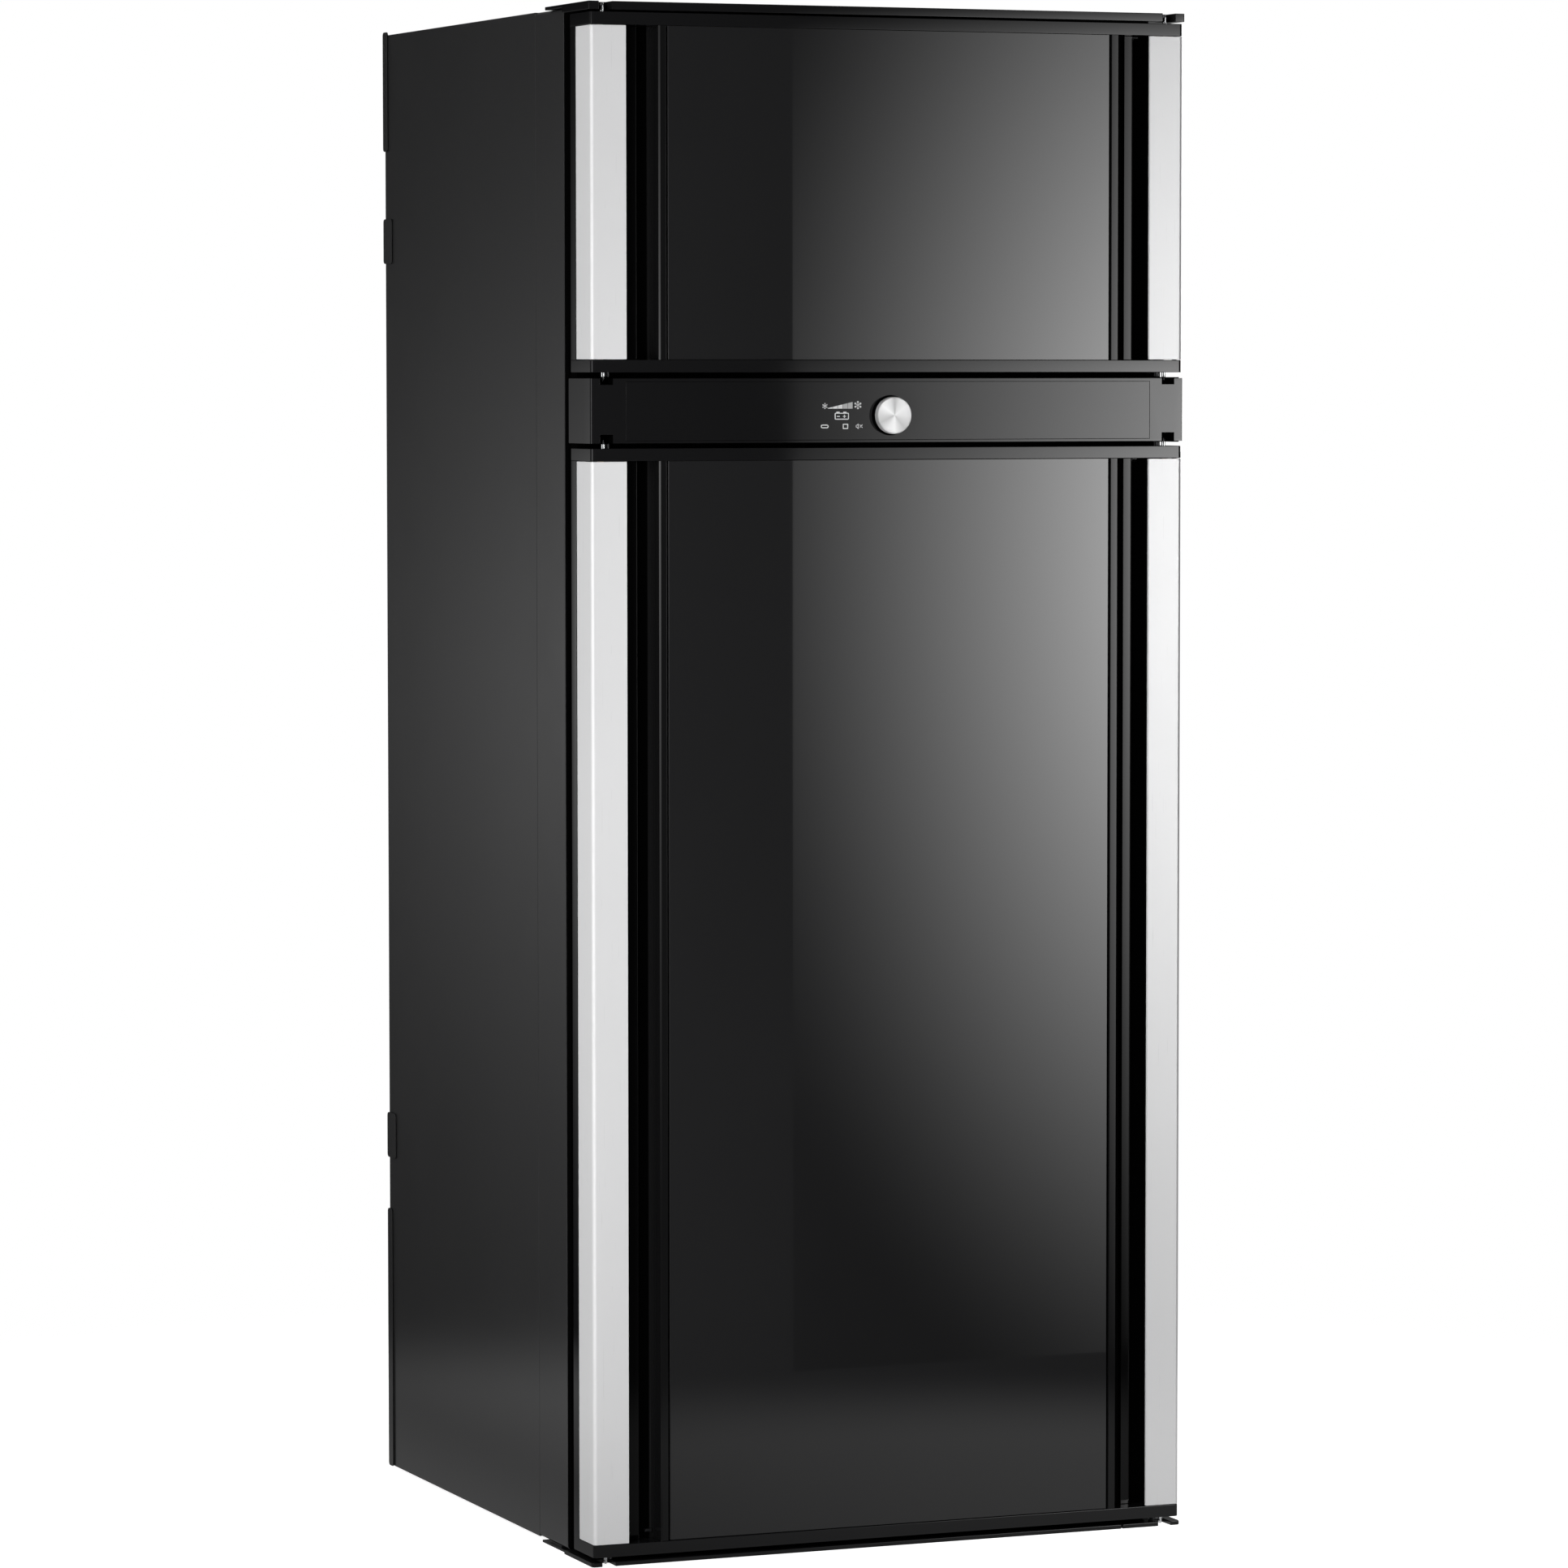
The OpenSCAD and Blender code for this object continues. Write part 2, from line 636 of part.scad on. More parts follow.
// Angle extrusion with a stub at each end to tilt on
module handle(bottom, top) color("#dcdcdd") placed() {
    z = [bottom + cap_h + handle_gap, top - cap_h - handle_gap];
    translate([0, 0, z[0]]) linear_extrude(z[1] - z[0]) difference() {
        union() {
            translate([handle_in, 0]) square([handle_w - corner_r, handle_side]);
            translate([door_half - 2 * corner_r, corner_r])
                square([2 * corner_r, handle_side - corner_r]);
            translate([door_half - corner_r, corner_r]) circle(r = corner_r);
        }
        translate([handle_in - 1, handle_wall])
            square([handle_w + 1 - handle_wall, handle_side]);
    }
    for (end = [z[0], z[1] - 10])
        box([249.5, door_half - 1], [1, 12], [end, end + 10]);
    upright(pivot_x, pivot_d, [z[0] - 6, z[1] + 6], pivot_r);
}

// Upright rod that a handle's side leg turns through a lever, with a claw at its ends
module latch(bottom, top, claw_on_top) color("#8f9296") placed() {
    middle = (bottom + top) / 2;
    rod_top = claw_on_top ? top + 3.4 : top - 5;
    claw = [latch_x - 1.9, latch_x + 1.9];
    upright(latch_x, latch_d, [bottom - 3.2, rod_top], latch_r);
    translate([latch_x, latch_d, middle - 4]) linear_extrude(8) {
        rotate(41) translate([0, -1.5]) square([16.8, 3]);
        rotate(41) translate([16.8, 0]) circle(r = 2);
    }
    box(claw, [latch_d, latch_d + 4], [bottom - 3.2, bottom - 0.6]);
    if (claw_on_top) box(claw, [latch_d, latch_d + 4], [top + 0.6, top + 3.4]);
}

// Open-topped bins held between the ridges of the fridge door
module fridge_door_bins() color("#dfe8ea", 0.8) placed()
    for (z = [[64, 150], [345, 425], [640, 705]]) difference() {
        box([-199.6, 199.6], [door_t + 0.3, 125], z);
        box([-197, 197], [door_t + 3, 122.4], [z[0] + 2.6, z[1] + 1]);
    }

module freezer_door_frame() door_frame(freezer_door_bottom, freezer_door_top, false);
module freezer_door_core() door_core(freezer_door_bottom, freezer_door_top);
module freezer_door_liner()
    door_liner(freezer_door_bottom, freezer_door_top, [985, 1195], 68);
module freezer_door_gasket() door_gasket(freezer_door_bottom, freezer_door_top);
module freezer_front_panel() front_panel(freezer_door_bottom, freezer_door_top);
module freezer_recess_profiles() recess_profiles(freezer_door_bottom, freezer_door_top);
module freezer_left_pins() mirror([1, 0, 0]) freezer_pins();
module freezer_right_pins() freezer_pins();
module freezer_left_handle() mirror([1, 0, 0]) freezer_right_handle();
module freezer_right_handle() handle(freezer_door_bottom, freezer_door_top);
module freezer_left_latch() mirror([1, 0, 0]) freezer_right_latch();
module freezer_right_latch() latch(freezer_door_bottom, freezer_door_top, false);

module fridge_door_frame() door_frame(fridge_door_bottom, fridge_door_top, true);
module fridge_door_core() door_core(fridge_door_bottom, fridge_door_top);
module fridge_door_liner()
    door_liner(fridge_door_bottom, fridge_door_top, [52, 858], 95);
module fridge_door_gasket() door_gasket(fridge_door_bottom, fridge_door_top);
module fridge_front_panel() front_panel(fridge_door_bottom, fridge_door_top);
module fridge_recess_profiles() recess_profiles(fridge_door_bottom, fridge_door_top);
module fridge_left_pins() mirror([1, 0, 0]) fridge_pins();
module fridge_right_pins() fridge_pins();
module fridge_left_handle() mirror([1, 0, 0]) fridge_right_handle();
module fridge_right_handle() handle(fridge_door_bottom, fridge_door_top);
module fridge_left_latch() mirror([1, 0, 0]) fridge_right_latch();
module fridge_right_latch() latch(fridge_door_bottom, fridge_door_top, true);

outer_wrapper();
back_panel();
front_frame();
foam_body();
freezer_liner();
fridge_liner();
middle_rail();
control_fascia();
control_board();
top_hinge_strip();
bottom_hinge_strip();
side_screw_bushings();
rear_edge_clips();
floor_clips();
rear_feet();
freezer_evaporator();
freezer_shelf();
fridge_evaporator();
glass_shelves();
shelf_trims();
interior_lamp();
base_tray();
compressor();
compressor_grommets();
controller_box();
condenser();
fan_shroud();
filter_dryer();
refrigerant_tubes();
terminal_block();
drain_spout();
encoder_shaft();
control_knob();
fan_impeller();
crisper_drawer();
fridge_door_bins();
freezer_door_frame();
freezer_door_core();
freezer_door_liner();
freezer_door_gasket();
freezer_front_panel();
freezer_recess_profiles();
freezer_left_pins();
freezer_right_pins();
freezer_left_handle();
freezer_right_handle();
freezer_left_latch();
freezer_right_latch();
fridge_door_frame();
fridge_door_core();
fridge_door_liner();
fridge_door_gasket();
fridge_front_panel();
fridge_recess_profiles();
fridge_left_pins();
fridge_right_pins();
fridge_left_handle();
fridge_right_handle();
fridge_left_latch();
fridge_right_latch();
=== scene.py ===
import json
import math

import bmesh
import bpy
from mathutils import Matrix, Vector


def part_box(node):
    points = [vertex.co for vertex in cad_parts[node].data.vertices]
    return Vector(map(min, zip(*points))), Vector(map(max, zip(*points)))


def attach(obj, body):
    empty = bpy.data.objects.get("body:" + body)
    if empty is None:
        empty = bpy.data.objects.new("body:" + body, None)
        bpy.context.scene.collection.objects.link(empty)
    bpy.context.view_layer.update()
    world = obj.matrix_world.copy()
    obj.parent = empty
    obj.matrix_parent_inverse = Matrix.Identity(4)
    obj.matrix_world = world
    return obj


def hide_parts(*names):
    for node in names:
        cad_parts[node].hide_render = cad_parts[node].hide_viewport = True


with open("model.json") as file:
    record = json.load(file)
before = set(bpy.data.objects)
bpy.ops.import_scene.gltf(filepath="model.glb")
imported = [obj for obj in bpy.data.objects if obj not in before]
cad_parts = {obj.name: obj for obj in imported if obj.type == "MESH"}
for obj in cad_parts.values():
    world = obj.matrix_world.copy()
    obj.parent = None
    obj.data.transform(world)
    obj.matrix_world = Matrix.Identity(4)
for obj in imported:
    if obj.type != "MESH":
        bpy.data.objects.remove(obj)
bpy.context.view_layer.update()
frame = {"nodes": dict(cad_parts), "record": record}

MM = 0.001
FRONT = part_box("freezer_door_frame")[0].y      # the face that depths are counted from
SCENE = bpy.context.scene
SLOTS = {part["node"]: part["material_slot"] for part in frame["record"]["subparts"]}
DOORS = ("freezer", "fridge")


def at(x, depth, z):
    """A point in millimetres, its depth counted back from the door fronts."""
    return Vector((x * MM, FRONT + depth * MM, z * MM))


def millimetres(point):
    """x, depth and z of a point in the frame."""
    return point.x / MM, (point.y - FRONT) / MM, point.z / MM


def reach(node):
    """How far a node goes in millimetres: x, depth and z, each as (low, high)."""
    return list(zip(*(millimetres(corner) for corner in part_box(node))))


# ---------- camera ----------

def make_camera():
    data = bpy.data.cameras.new("camera")
    data.lens, data.sensor_width = 149.2, 36
    data.clip_start, data.clip_end = 0.1, 60
    camera = bpy.data.objects.new("camera", data)
    SCENE.collection.objects.link(camera)
    heading, tilt, roll = -22.03, 90 - 3.595, -0.036
    camera.matrix_world = Matrix.Translation((-2.0456, -5.0924, 0.9502))
    for angle, axis in ((heading, "Z"), (tilt, "X"), (roll, "Z")):
        camera.matrix_world @= Matrix.Rotation(math.radians(angle), 4, axis)
    SCENE.camera = camera


make_camera()
SCENE.view_settings.view_transform = "Standard"


# ---------- shader nodes ----------

class Value:
    """A number socket that takes part in arithmetic: each expression adds its Math node."""

    def __init__(self, net, socket):
        self.net, self.socket = net, socket

    def _math(self, operation, *values):
        node = self.net.add("Math", {"operation": operation}, dict(enumerate(values)))
        return Value(self.net, node.outputs[0])

    def __add__(self, other):
        return self._math("ADD", self, other)

    def __mul__(self, other):
        return self._math("MULTIPLY", self, other)

    def __sub__(self, other):
        return self._math("SUBTRACT", self, other)

    def __rsub__(self, other):
        return self._math("SUBTRACT", other, self)

    def __truediv__(self, other):
        return self._math("DIVIDE", self, other)

    def __pow__(self, other):
        return self._math("POWER", self, other)

    __radd__, __rmul__ = __add__, __mul__

    def function(self, operation, *values):
        return self._math(operation, self, *values)

    def spread(self, low, high):
        """Takes a value in 0..1 to low..high."""
        return self * (high - low) + low


class Net:
    """A node tree that is filled one node at a time."""

    def __init__(self, tree):
        self.tree = tree
        tree.nodes.clear()

    def add(self, kind, settings=None, sockets=None):
        """Adds a node: its type, its settings, then the values or links of its sockets."""
        node = self.tree.nodes.new("ShaderNode" + kind)
        for name, setting in (settings or {}).items():
            if name == "stops":
                self.set_stops(node.color_ramp, setting)
            else:
                setattr(node, name, setting)
        for name, value in (sockets or {}).items():
            if isinstance(value, Value):
                value = value.socket
            if isinstance(value, bpy.types.Node):
                value = value.outputs[0]
            if isinstance(value, bpy.types.NodeSocket):
                self.tree.links.new(value, node.inputs[name])
            else:
                node.inputs[name].default_value = value
        return node

    @staticmethod
    def set_stops(ramp, stops):
        """Sets a ramp's stops from (place, brightness) pairs."""
        while len(ramp.elements) < len(stops):
            ramp.elements.new(0.5)
        for element, (place, level) in zip(ramp.elements, stops):
            element.position = place
            element.color = (level, level, level, 1)

    def value(self, node, output=0):
        return Value(self, node.outputs[output])

    def place(self, stretch=(1, 1, 1)):
        """Object coordinates, stretched along each axis."""
        coordinates = self.add("TexCoord").outputs["Object"]
        return self.add("Mapping", None, {"Vector": coordinates, "Scale": stretch})

    def axes(self):
        """The object coordinates one by one, as three values."""
        coordinates = self.add("TexCoord").outputs["Object"]
        split = self.add("SeparateXYZ", None, {"Vector": coordinates})
        return [self.value(split, k) for k in range(3)]

    def noise(self, scale, detail=3, rough=0.55, stretch=(1, 1, 1)):
        return self.value(self.add("TexNoise", None, {
            "Vector": self.place(stretch), "Scale": scale, "Detail": detail,
            "Roughness": rough}))

    def cells(self, scale, output="Distance"):
        node = self.add("TexVoronoi", None, {"Vector": self.place(), "Scale": scale})
        return self.value(node, output)

    def blend(self, share, first, second):
        """A colour between two colours."""
        colours = [(*c, 1) if isinstance(c, tuple) else c for c in (first, second)]
        node = self.add("Mix", {"data_type": "RGBA"},
                        {0: share, 6: colours[0], 7: colours[1]})
        return node.outputs[2]

    def smooth(self, value, start, end, before=0, after=1):
        """A soft step of a value, from one level before it to another after it."""
        return self.value(self.add(
            "MapRange", {"interpolation_type": "SMOOTHSTEP"},
            {"Value": value, "From Min": start, "From Max": end, "To Min": before,
             "To Max": after}))


class Paint(Net):
    """A finish: one material and the record's slot that it belongs to."""

    def __init__(self, name, slot=None, **fixed):
        self.name, self.slot = name, slot or name
        self.material = bpy.data.materials.new(name)
        self.material.use_nodes = True
        super().__init__(self.material.node_tree)
        self.surface = self.add("BsdfPrincipled")
        self.add("OutputMaterial", None, {"Surface": self.surface})
        for socket, value in fixed.items():
            self.surface.inputs[socket.replace("_", " ")].default_value = value

    def set(self, **sockets):
        for name, value in sockets.items():
            if isinstance(value, Value):
                value = value.socket
            self.tree.links.new(value, self.surface.inputs[name.replace("_", " ")])
        return self

    def relief(self, height, depth):
        """Bump of a real depth in millimetres."""
        bump = self.add("Bump", None, {"Height": height, "Distance": depth * MM,
                                       "Strength": 1.0})
        return self.set(Normal=bump.outputs[0])


# ---------- finishes ----------

def grey(level, blue=0.0):
    """A neutral colour, maybe with a little more blue."""
    return level, level, level + blue


def grained(name, dark, light, rough, grain, depth=0.02, slot=None, **fixed):
    """Moulded plastic or paint: a fine grain in relief over slow changes of tone."""
    paint = Paint(name, slot, **fixed)
    slow = paint.noise(9, 4)
    fine = paint.noise(1000 / grain, 2)
    paint.set(Base_Color=paint.blend(slow * 0.7 + fine * 0.3, dark, light),
              Roughness=paint.noise(26, 4).spread(*rough))
    return paint.relief(fine, depth)


def drawn(name, dark, light, rough, stretch, slot=None, **fixed):
    """Metal with fine lines along one axis."""
    paint = Paint(name, slot, **fixed)
    lines = paint.noise(2400, 3, 0.6, stretch)
    slow = paint.noise(7, 3)
    paint.set(Base_Color=paint.blend(lines * 0.5 + slow * 0.5, dark, light),
              Roughness=(lines * 0.6 + slow * 0.4).spread(*rough))
    return paint.relief(lines, 0.004)


def make_galvanised():
    """Zinc coat with faint crystals."""
    paint = Paint("galvanised_steel", Metallic=0.85)
    spangle = paint.cells(240, "Color")
    slow = paint.noise(14, 4)
    paint.set(Base_Color=paint.blend(spangle * 0.35 + slow * 0.65, (0.33, 0.34, 0.35),
                                     (0.44, 0.45, 0.46)),
              Roughness=spangle.spread(0.38, 0.48))
    return paint.relief(slow, 0.02)


def make_insulation():
    """Yellowish foam with small open bubbles."""
    paint = Paint("insulation", Roughness=0.9)
    bubbles = paint.cells(420)
    paint.set(Base_Color=paint.blend(bubbles * 0.6 + paint.noise(30, 4) * 0.5,
                                     (0.62, 0.52, 0.27), (0.85, 0.78, 0.50)))
    return paint.relief(bubbles, 0.6)


def make_copper():
    paint = Paint("copper", Metallic=1.0)
    tarnish = paint.noise(34, 5, 0.65)
    paint.set(Base_Color=paint.blend(tarnish, (0.86, 0.45, 0.27), (0.40, 0.20, 0.12)),
              Roughness=tarnish.spread(0.22, 0.5))
    return paint.relief(paint.noise(700, 2), 0.01)


def make_gloss():
    """Black glass-like panel: nearly a mirror, with the faintest unevenness."""
    paint = Paint("gloss_black", IOR=1.53)
    haze = paint.noise(5, 5, 0.6)
    return paint.set(Base_Color=paint.blend(haze, grey(0.014, 0.0005),
                                            grey(0.018, 0.0005)),
                     Roughness=haze.spread(0.006, 0.02))


def make_clear(name, tint, rough):
    """Clear glass or plastic, faintly wavy."""
    paint = Paint(name, Transmission_Weight=0.92, IOR=1.46)
    haze = paint.noise(11, 4)
    paint.set(Base_Color=paint.blend(haze, tint, tuple(min(1, c * 1.07) for c in tint)),
              Roughness=haze.spread(*rough))
    return paint.relief(paint.noise(60, 2), 0.002)


def make_board():
    """Green circuit board with raised tracks."""
    paint = Paint("circuit_board", Roughness=0.38)
    tracks = paint.noise(240, 1, 0.4, (1, 1, 0.25)).function("GREATER_THAN", 0.53)
    paint.set(Base_Color=paint.blend(tracks, (0.006, 0.06, 0.022), (0.02, 0.16, 0.06)))
    return paint.relief(tracks, 0.03)


def make_aluminium():
    """Satin anodised handle extrusion, its drawing lines upright."""
    paint = Paint("satin_aluminium", Metallic=0.1)
    lines = paint.noise(1600, 3, 0.6, (1, 1, 0.012))
    slow = paint.noise(6, 3)
    paint.set(Base_Color=paint.blend(lines * 0.1 + slow * 0.9, grey(0.81, 0.005),
                                     grey(0.89, 0.005)),
              Roughness=lines.spread(0.25, 0.33))
    return paint.relief(lines, 0.0004)


def make_spun_metal_painted_sheen():
    """The knob's face: fine rings, and bright and dark wedges of painted reflection."""
    paint = Paint("spun_metal_painted_sheen", "silver_plastic", Metallic=0.4)
    x, _, z = paint.axes()
    middle_x, middle_z = (sum(reach("control_knob")[k]) / 2 * MM for k in (0, 2))
    across, up = x - middle_x, z - middle_z
    turn = up.function("ARCTAN2", across) / (2 * math.pi) + 0.5
    # painted reflection: brighter and darker wedges by angle round the knob's middle
    painted_sheen_sectors = paint.add("ValToRGB", {"stops": [
        (0.0, 0.62), (0.07, 0.5), (0.17, 0.8), (0.25, 0.93), (0.36, 0.56), (0.5, 0.8),
        (0.6, 0.88), (0.7, 0.72), (0.75, 0.46), (0.8, 0.70), (0.9, 0.9), (1.0, 0.62)]},
        {"Fac": turn})
    radius = (across * across + up * up) ** 0.5
    rings = (radius * 42000).function("SINE") * 0.5 + 0.5
    paint.set(Base_Color=painted_sheen_sectors.outputs[0], Roughness=rings.spread(0.34, 0.44))
    return paint.relief(rings, 0.002)


# One for each of the record's slots, then the finishes that differ from their slot's
PAINTS = {paint.name: paint for paint in (
    grained("steel_sheet", grey(0.030, 0.0005), grey(0.036, 0.0005), (0.17, 0.22), 0.9,
            0.008),
    grained("black_plastic", grey(0.007, 0.0004), grey(0.010, 0.0005), (0.03, 0.06),
            0.4, 0.001, IOR=1.36),
    make_gloss(),
    make_aluminium(),
    grained("white_plastic", (0.80, 0.805, 0.80), (0.88, 0.885, 0.88), (0.3, 0.42),
            1.5),
    make_insulation(),
    # black rubber, darkened further as painted shade for the gap between doors and cabinet
    grained("gasket_rubber", grey(0.003), grey(0.006), (0.6, 0.75), 0.5, 0.03, IOR=1.3),
    drawn("bright_steel", (0.62, 0.63, 0.64), (0.78, 0.79, 0.80), (0.18, 0.3),
          (1, 1, 0.02), Metallic=1.0),
    make_galvanised(),
    make_clear("shelf_glass", (0.86, 0.93, 0.93), (0.01, 0.04)),
    make_clear("clear_plastic", (0.84, 0.90, 0.92), (0.08, 0.16)),
    drawn("evaporator_aluminium", (0.66, 0.67, 0.68), (0.80, 0.81, 0.82), (0.3, 0.45),
          (0.03, 1, 1), Metallic=0.9),
    make_copper(),
    grained("black_steel", grey(0.012, 0.001), grey(0.02, 0.001), (0.25, 0.4), 1.2,
            0.03),
    grained("black_fan_plastic", grey(0.016), grey(0.028), (0.45, 0.6), 0.5),
    drawn("silver_plastic", (0.70, 0.71, 0.72), (0.84, 0.85, 0.86), (0.25, 0.36),
          (0.03, 1, 1), Metallic=0.6),
    make_board(),
    grained("terminal_plastic", (0.70, 0.66, 0.56), (0.82, 0.78, 0.68), (0.4, 0.5),
            0.6),
    grained("foot_rubber", grey(0.012), grey(0.022), (0.6, 0.75), 0.6, 0.03),

    grained("satin_plastic", grey(0.030, 0.0005), grey(0.036, 0.0005), (0.17, 0.22),
            0.9, 0.008, "black_plastic"),
    # painted shade: a darker, less shiny copy of black plastic for the finger recesses
    grained("recess_painted_shade", grey(0.006, 0.0002), grey(0.008, 0.0002), (0.04, 0.08), 0.4,
            0.001, "black_plastic", IOR=1.31),
    # painted shade: a still darker copy of black plastic for the ribs deep in the recesses
    grained("rib_painted_shade", grey(0.003, 0.0001), grey(0.005, 0.0002), (0.04, 0.08), 0.4,
            0.001, "black_plastic", IOR=1.265),
    # painted shade: near-black and dull, for faces that lie in deep shade
    grained("painted_shade_black", grey(0.0006), grey(0.0012), (0.85, 0.95), 0.6, 0.02,
            "black_plastic", Specular_IOR_Level=0.04),
    # painted shade: a darkened copy of bright steel for the latches behind the handles
    drawn("painted_shade_steel", grey(0.04, 0.002), grey(0.07, 0.002), (0.35, 0.5),
          (1, 1, 0.02), "bright_steel", Metallic=1.0),
    make_spun_metal_painted_sheen(),
    grained("white_print", grey(0.86), grey(0.92), (0.5, 0.6), 0.2, 0.01,
            "white_plastic"),
    grained("grey_print", grey(0.50), grey(0.58), (0.5, 0.6), 0.2, 0.01,
            "white_plastic"),
    grained("lamp_diffuser", (0.86, 0.86, 0.82), (0.92, 0.92, 0.88), (0.35, 0.45), 0.8,
            0.02, "white_plastic"),
)}


def dress_nodes():
    """Every node that stays as it is takes its slot's finish, the latches painted shade."""
    for name, node in frame["nodes"].items():
        paint = PAINTS["painted_shade_steel" if name.endswith("latch") else SLOTS[name]]
        node.data.materials.clear()
        node.data.materials.append(paint.material)


dress_nodes()


# ---------- shapes ----------

AXES = {"x": Vector((1, 0, 0)), "depth": Vector((0, 1, 0)), "z": Vector((0, 0, 1))}
VERT, EDGE, FACE = bmesh.types.BMVert, bmesh.types.BMEdge, bmesh.types.BMFace
CREASE = 38                  # edges sharper than this angle stay sharp in the shading


def only(kind, things):
    """The verts, edges or faces among the things that an operator gives back."""
    return [thing for thing in things if isinstance(thing, kind)]


def everything(shape):
    return shape.verts[:] + shape.edges[:] + shape.faces[:]


def mirror_span(sign, near, far):
    """A span of x on the left (-1) or right (1) of the middle, as (low, high)."""
    return sorted((sign * near, sign * far))


def face_out(shape):
    bmesh.ops.recalc_face_normals(shape, faces=shape.faces[:])


def merged(shape, within=1e-6):
    """Joins vertices that lie closer together than a distance in metres."""
    bmesh.ops.remove_doubles(shape, verts=shape.verts[:], dist=within)


def block(shape, x, depth, z):
    """Adds a block between two values on each axis."""
    verts = bmesh.ops.create_cube(shape, size=1)["verts"]
    low, high = at(x[0], depth[0], z[0]), at(x[1], depth[1], z[1])
    bmesh.ops.scale(shape, vec=high - low, verts=verts)
    bmesh.ops.translate(shape, vec=(low + high) / 2, verts=verts)
    return verts


def drop(axis, a, b, along):
    """A point given across and along an axis: (x, depth) across z, (x, z) across depth
    and (depth, z) across x."""
    return {"z": at(a, b, along), "depth": at(a, along, b), "x": at(along, a, b)}[axis]


def prism(shape, outline, span, axis="z"):
    """Adds an outline, drawn out along an axis."""
    ring = [shape.verts.new(drop(axis, a, b, span[0])) for a, b in outline]
    grown = bmesh.ops.extrude_face_region(shape, geom=[shape.faces.new(ring)])["geom"]
    bmesh.ops.translate(shape, vec=AXES[axis] * (span[1] - span[0]) * MM,
                        verts=only(VERT, grown))


def arc(centre, radius, start, end, steps=6):
    """Points on an arc, its angles in degrees."""
    turns = [math.radians(start + (end - start) * k / steps) for k in range(steps + 1)]
    return [(centre[0] + radius * math.cos(t), centre[1] + radius * math.sin(t))
            for t in turns]


def rounded_box(x, z, radius, steps=4):
    """Outline of a rectangle with round corners."""
    (x0, x1), (z0, z1) = x, z
    corners = ((x0 + radius, z0 + radius), (x1 - radius, z0 + radius),
               (x1 - radius, z1 - radius), (x0 + radius, z1 - radius))
    return [point for start, corner in zip((180, 270, 0, 90), corners)
            for point in arc(corner, radius, start, start + 90, steps)]


def turned(shape, profile, centre, axis="depth", steps=48, closed=False):
    """Adds a turned shape from (along, radius) pairs. An open profile starts and ends
    on the axis, and a closed one is a ring's section."""
    along = AXES[axis]
    side = along.orthogonal().normalized()
    line = [shape.verts.new(centre + (along * a + side * r) * MM) for a, r in profile]
    pairs = list(zip(line, line[1:])) + ([(line[-1], line[0])] if closed else [])
    edges = [shape.edges.new(pair) for pair in pairs]
    bmesh.ops.spin(shape, geom=line + edges, cent=centre, axis=along,
                   angle=2 * math.pi, steps=steps, use_merge=True, use_duplicate=False)
    merged(shape)


def looped(shape, rings):
    """Adds a closed skin through rings of points, back to the first ring."""
    verts = [shape.verts.new(point) for point in rings[0]]
    edges = [shape.edges.new((verts[k], verts[k - 1])) for k in range(len(verts))]
    for before, after in zip(rings, [*rings[1:], rings[0]]):
        grown = bmesh.ops.extrude_edge_only(shape, edges=edges)["geom"]
        verts = set(only(VERT, grown))
        edges = [edge for edge in only(EDGE, grown) if verts.issuperset(edge.verts)]
        for vert in verts:
            nearest = min(range(len(before)), key=lambda k: (before[k] - vert.co).length)
            vert.co = after[nearest]
    merged(shape, 1e-7)


def framed(shape, section, x, z):
    """Adds a closed frame round a rectangle: its section is (inset, depth) points."""
    rings = []
    for inset, depth in section:
        left, right, low, high = x[0] + inset, x[1] - inset, z[0] + inset, z[1] - inset
        rings.append([at(a, depth, b) for a, b in ((left, low), (right, low),
                                                   (right, high), (left, high))])
    looped(shape, rings)


def tube(shape, points, radius, bend=0):
    """Adds a tube along a line of points, its corners turned on a radius."""
    route = [points[0]]
    for before, corner, after in zip(points, points[1:], points[2:]):
        ways = [p - corner for p in (before, after)]
        length = min(bend * MM, *(way.length * 0.48 for way in ways))
        start, end = (corner + way.normalized() * length for way in ways)
        for t in (k / 6 for k in range(7)):
            route.append(start * (1 - t) ** 2 + corner * 2 * t * (1 - t) + end * t ** 2)
    route.append(points[-1])
    data = bpy.data.curves.new("run", "CURVE")
    data.dimensions, data.bevel_depth, data.use_fill_caps = "3D", radius * MM, True
    data.bevel_resolution = 2
    line = data.splines.new("POLY")
    line.points.add(len(route) - 1)
    for spot, place in zip(line.points, route):
        spot.co = (*place, 1)
    run = bpy.data.objects.new("run", data)
    mesh = bpy.data.meshes.new_from_object(run)
    shape.from_mesh(mesh)
    bpy.data.objects.remove(run)
    bpy.data.curves.remove(data)
    bpy.data.meshes.remove(mesh)
    merged(shape)


def winding(rows, ends, place):
    """Points of a line that runs to and fro between two ends, row after row."""
    return [place(end, row) for k, row in enumerate(rows)
            for end in (ends if k % 2 == 0 else ends[::-1])]


def rounded(shape, radius, steps=2, where=None, sharper=30):
    """Rounds the edges sharper than an angle. A test of their middle's x, depth and z,
    and of the axis they run along, may pick some of them."""
    chosen = []
    for edge in shape.edges:
        if len(edge.link_faces) != 2 or edge.calc_face_angle(0) < math.radians(sharper):
            continue
        start, end = (vert.co for vert in edge.verts)
        run = max(AXES, key=lambda name: abs((end - start).dot(AXES[name])))
        if where is None or where(*millimetres((start + end) / 2), run):
            chosen.append(edge)
    bmesh.ops.bevel(shape, geom=chosen, offset=radius * MM, offset_type="OFFSET",
                    segments=steps, profile=0.5, affect="EDGES", clamp_overlap=True,
                    material=-1)


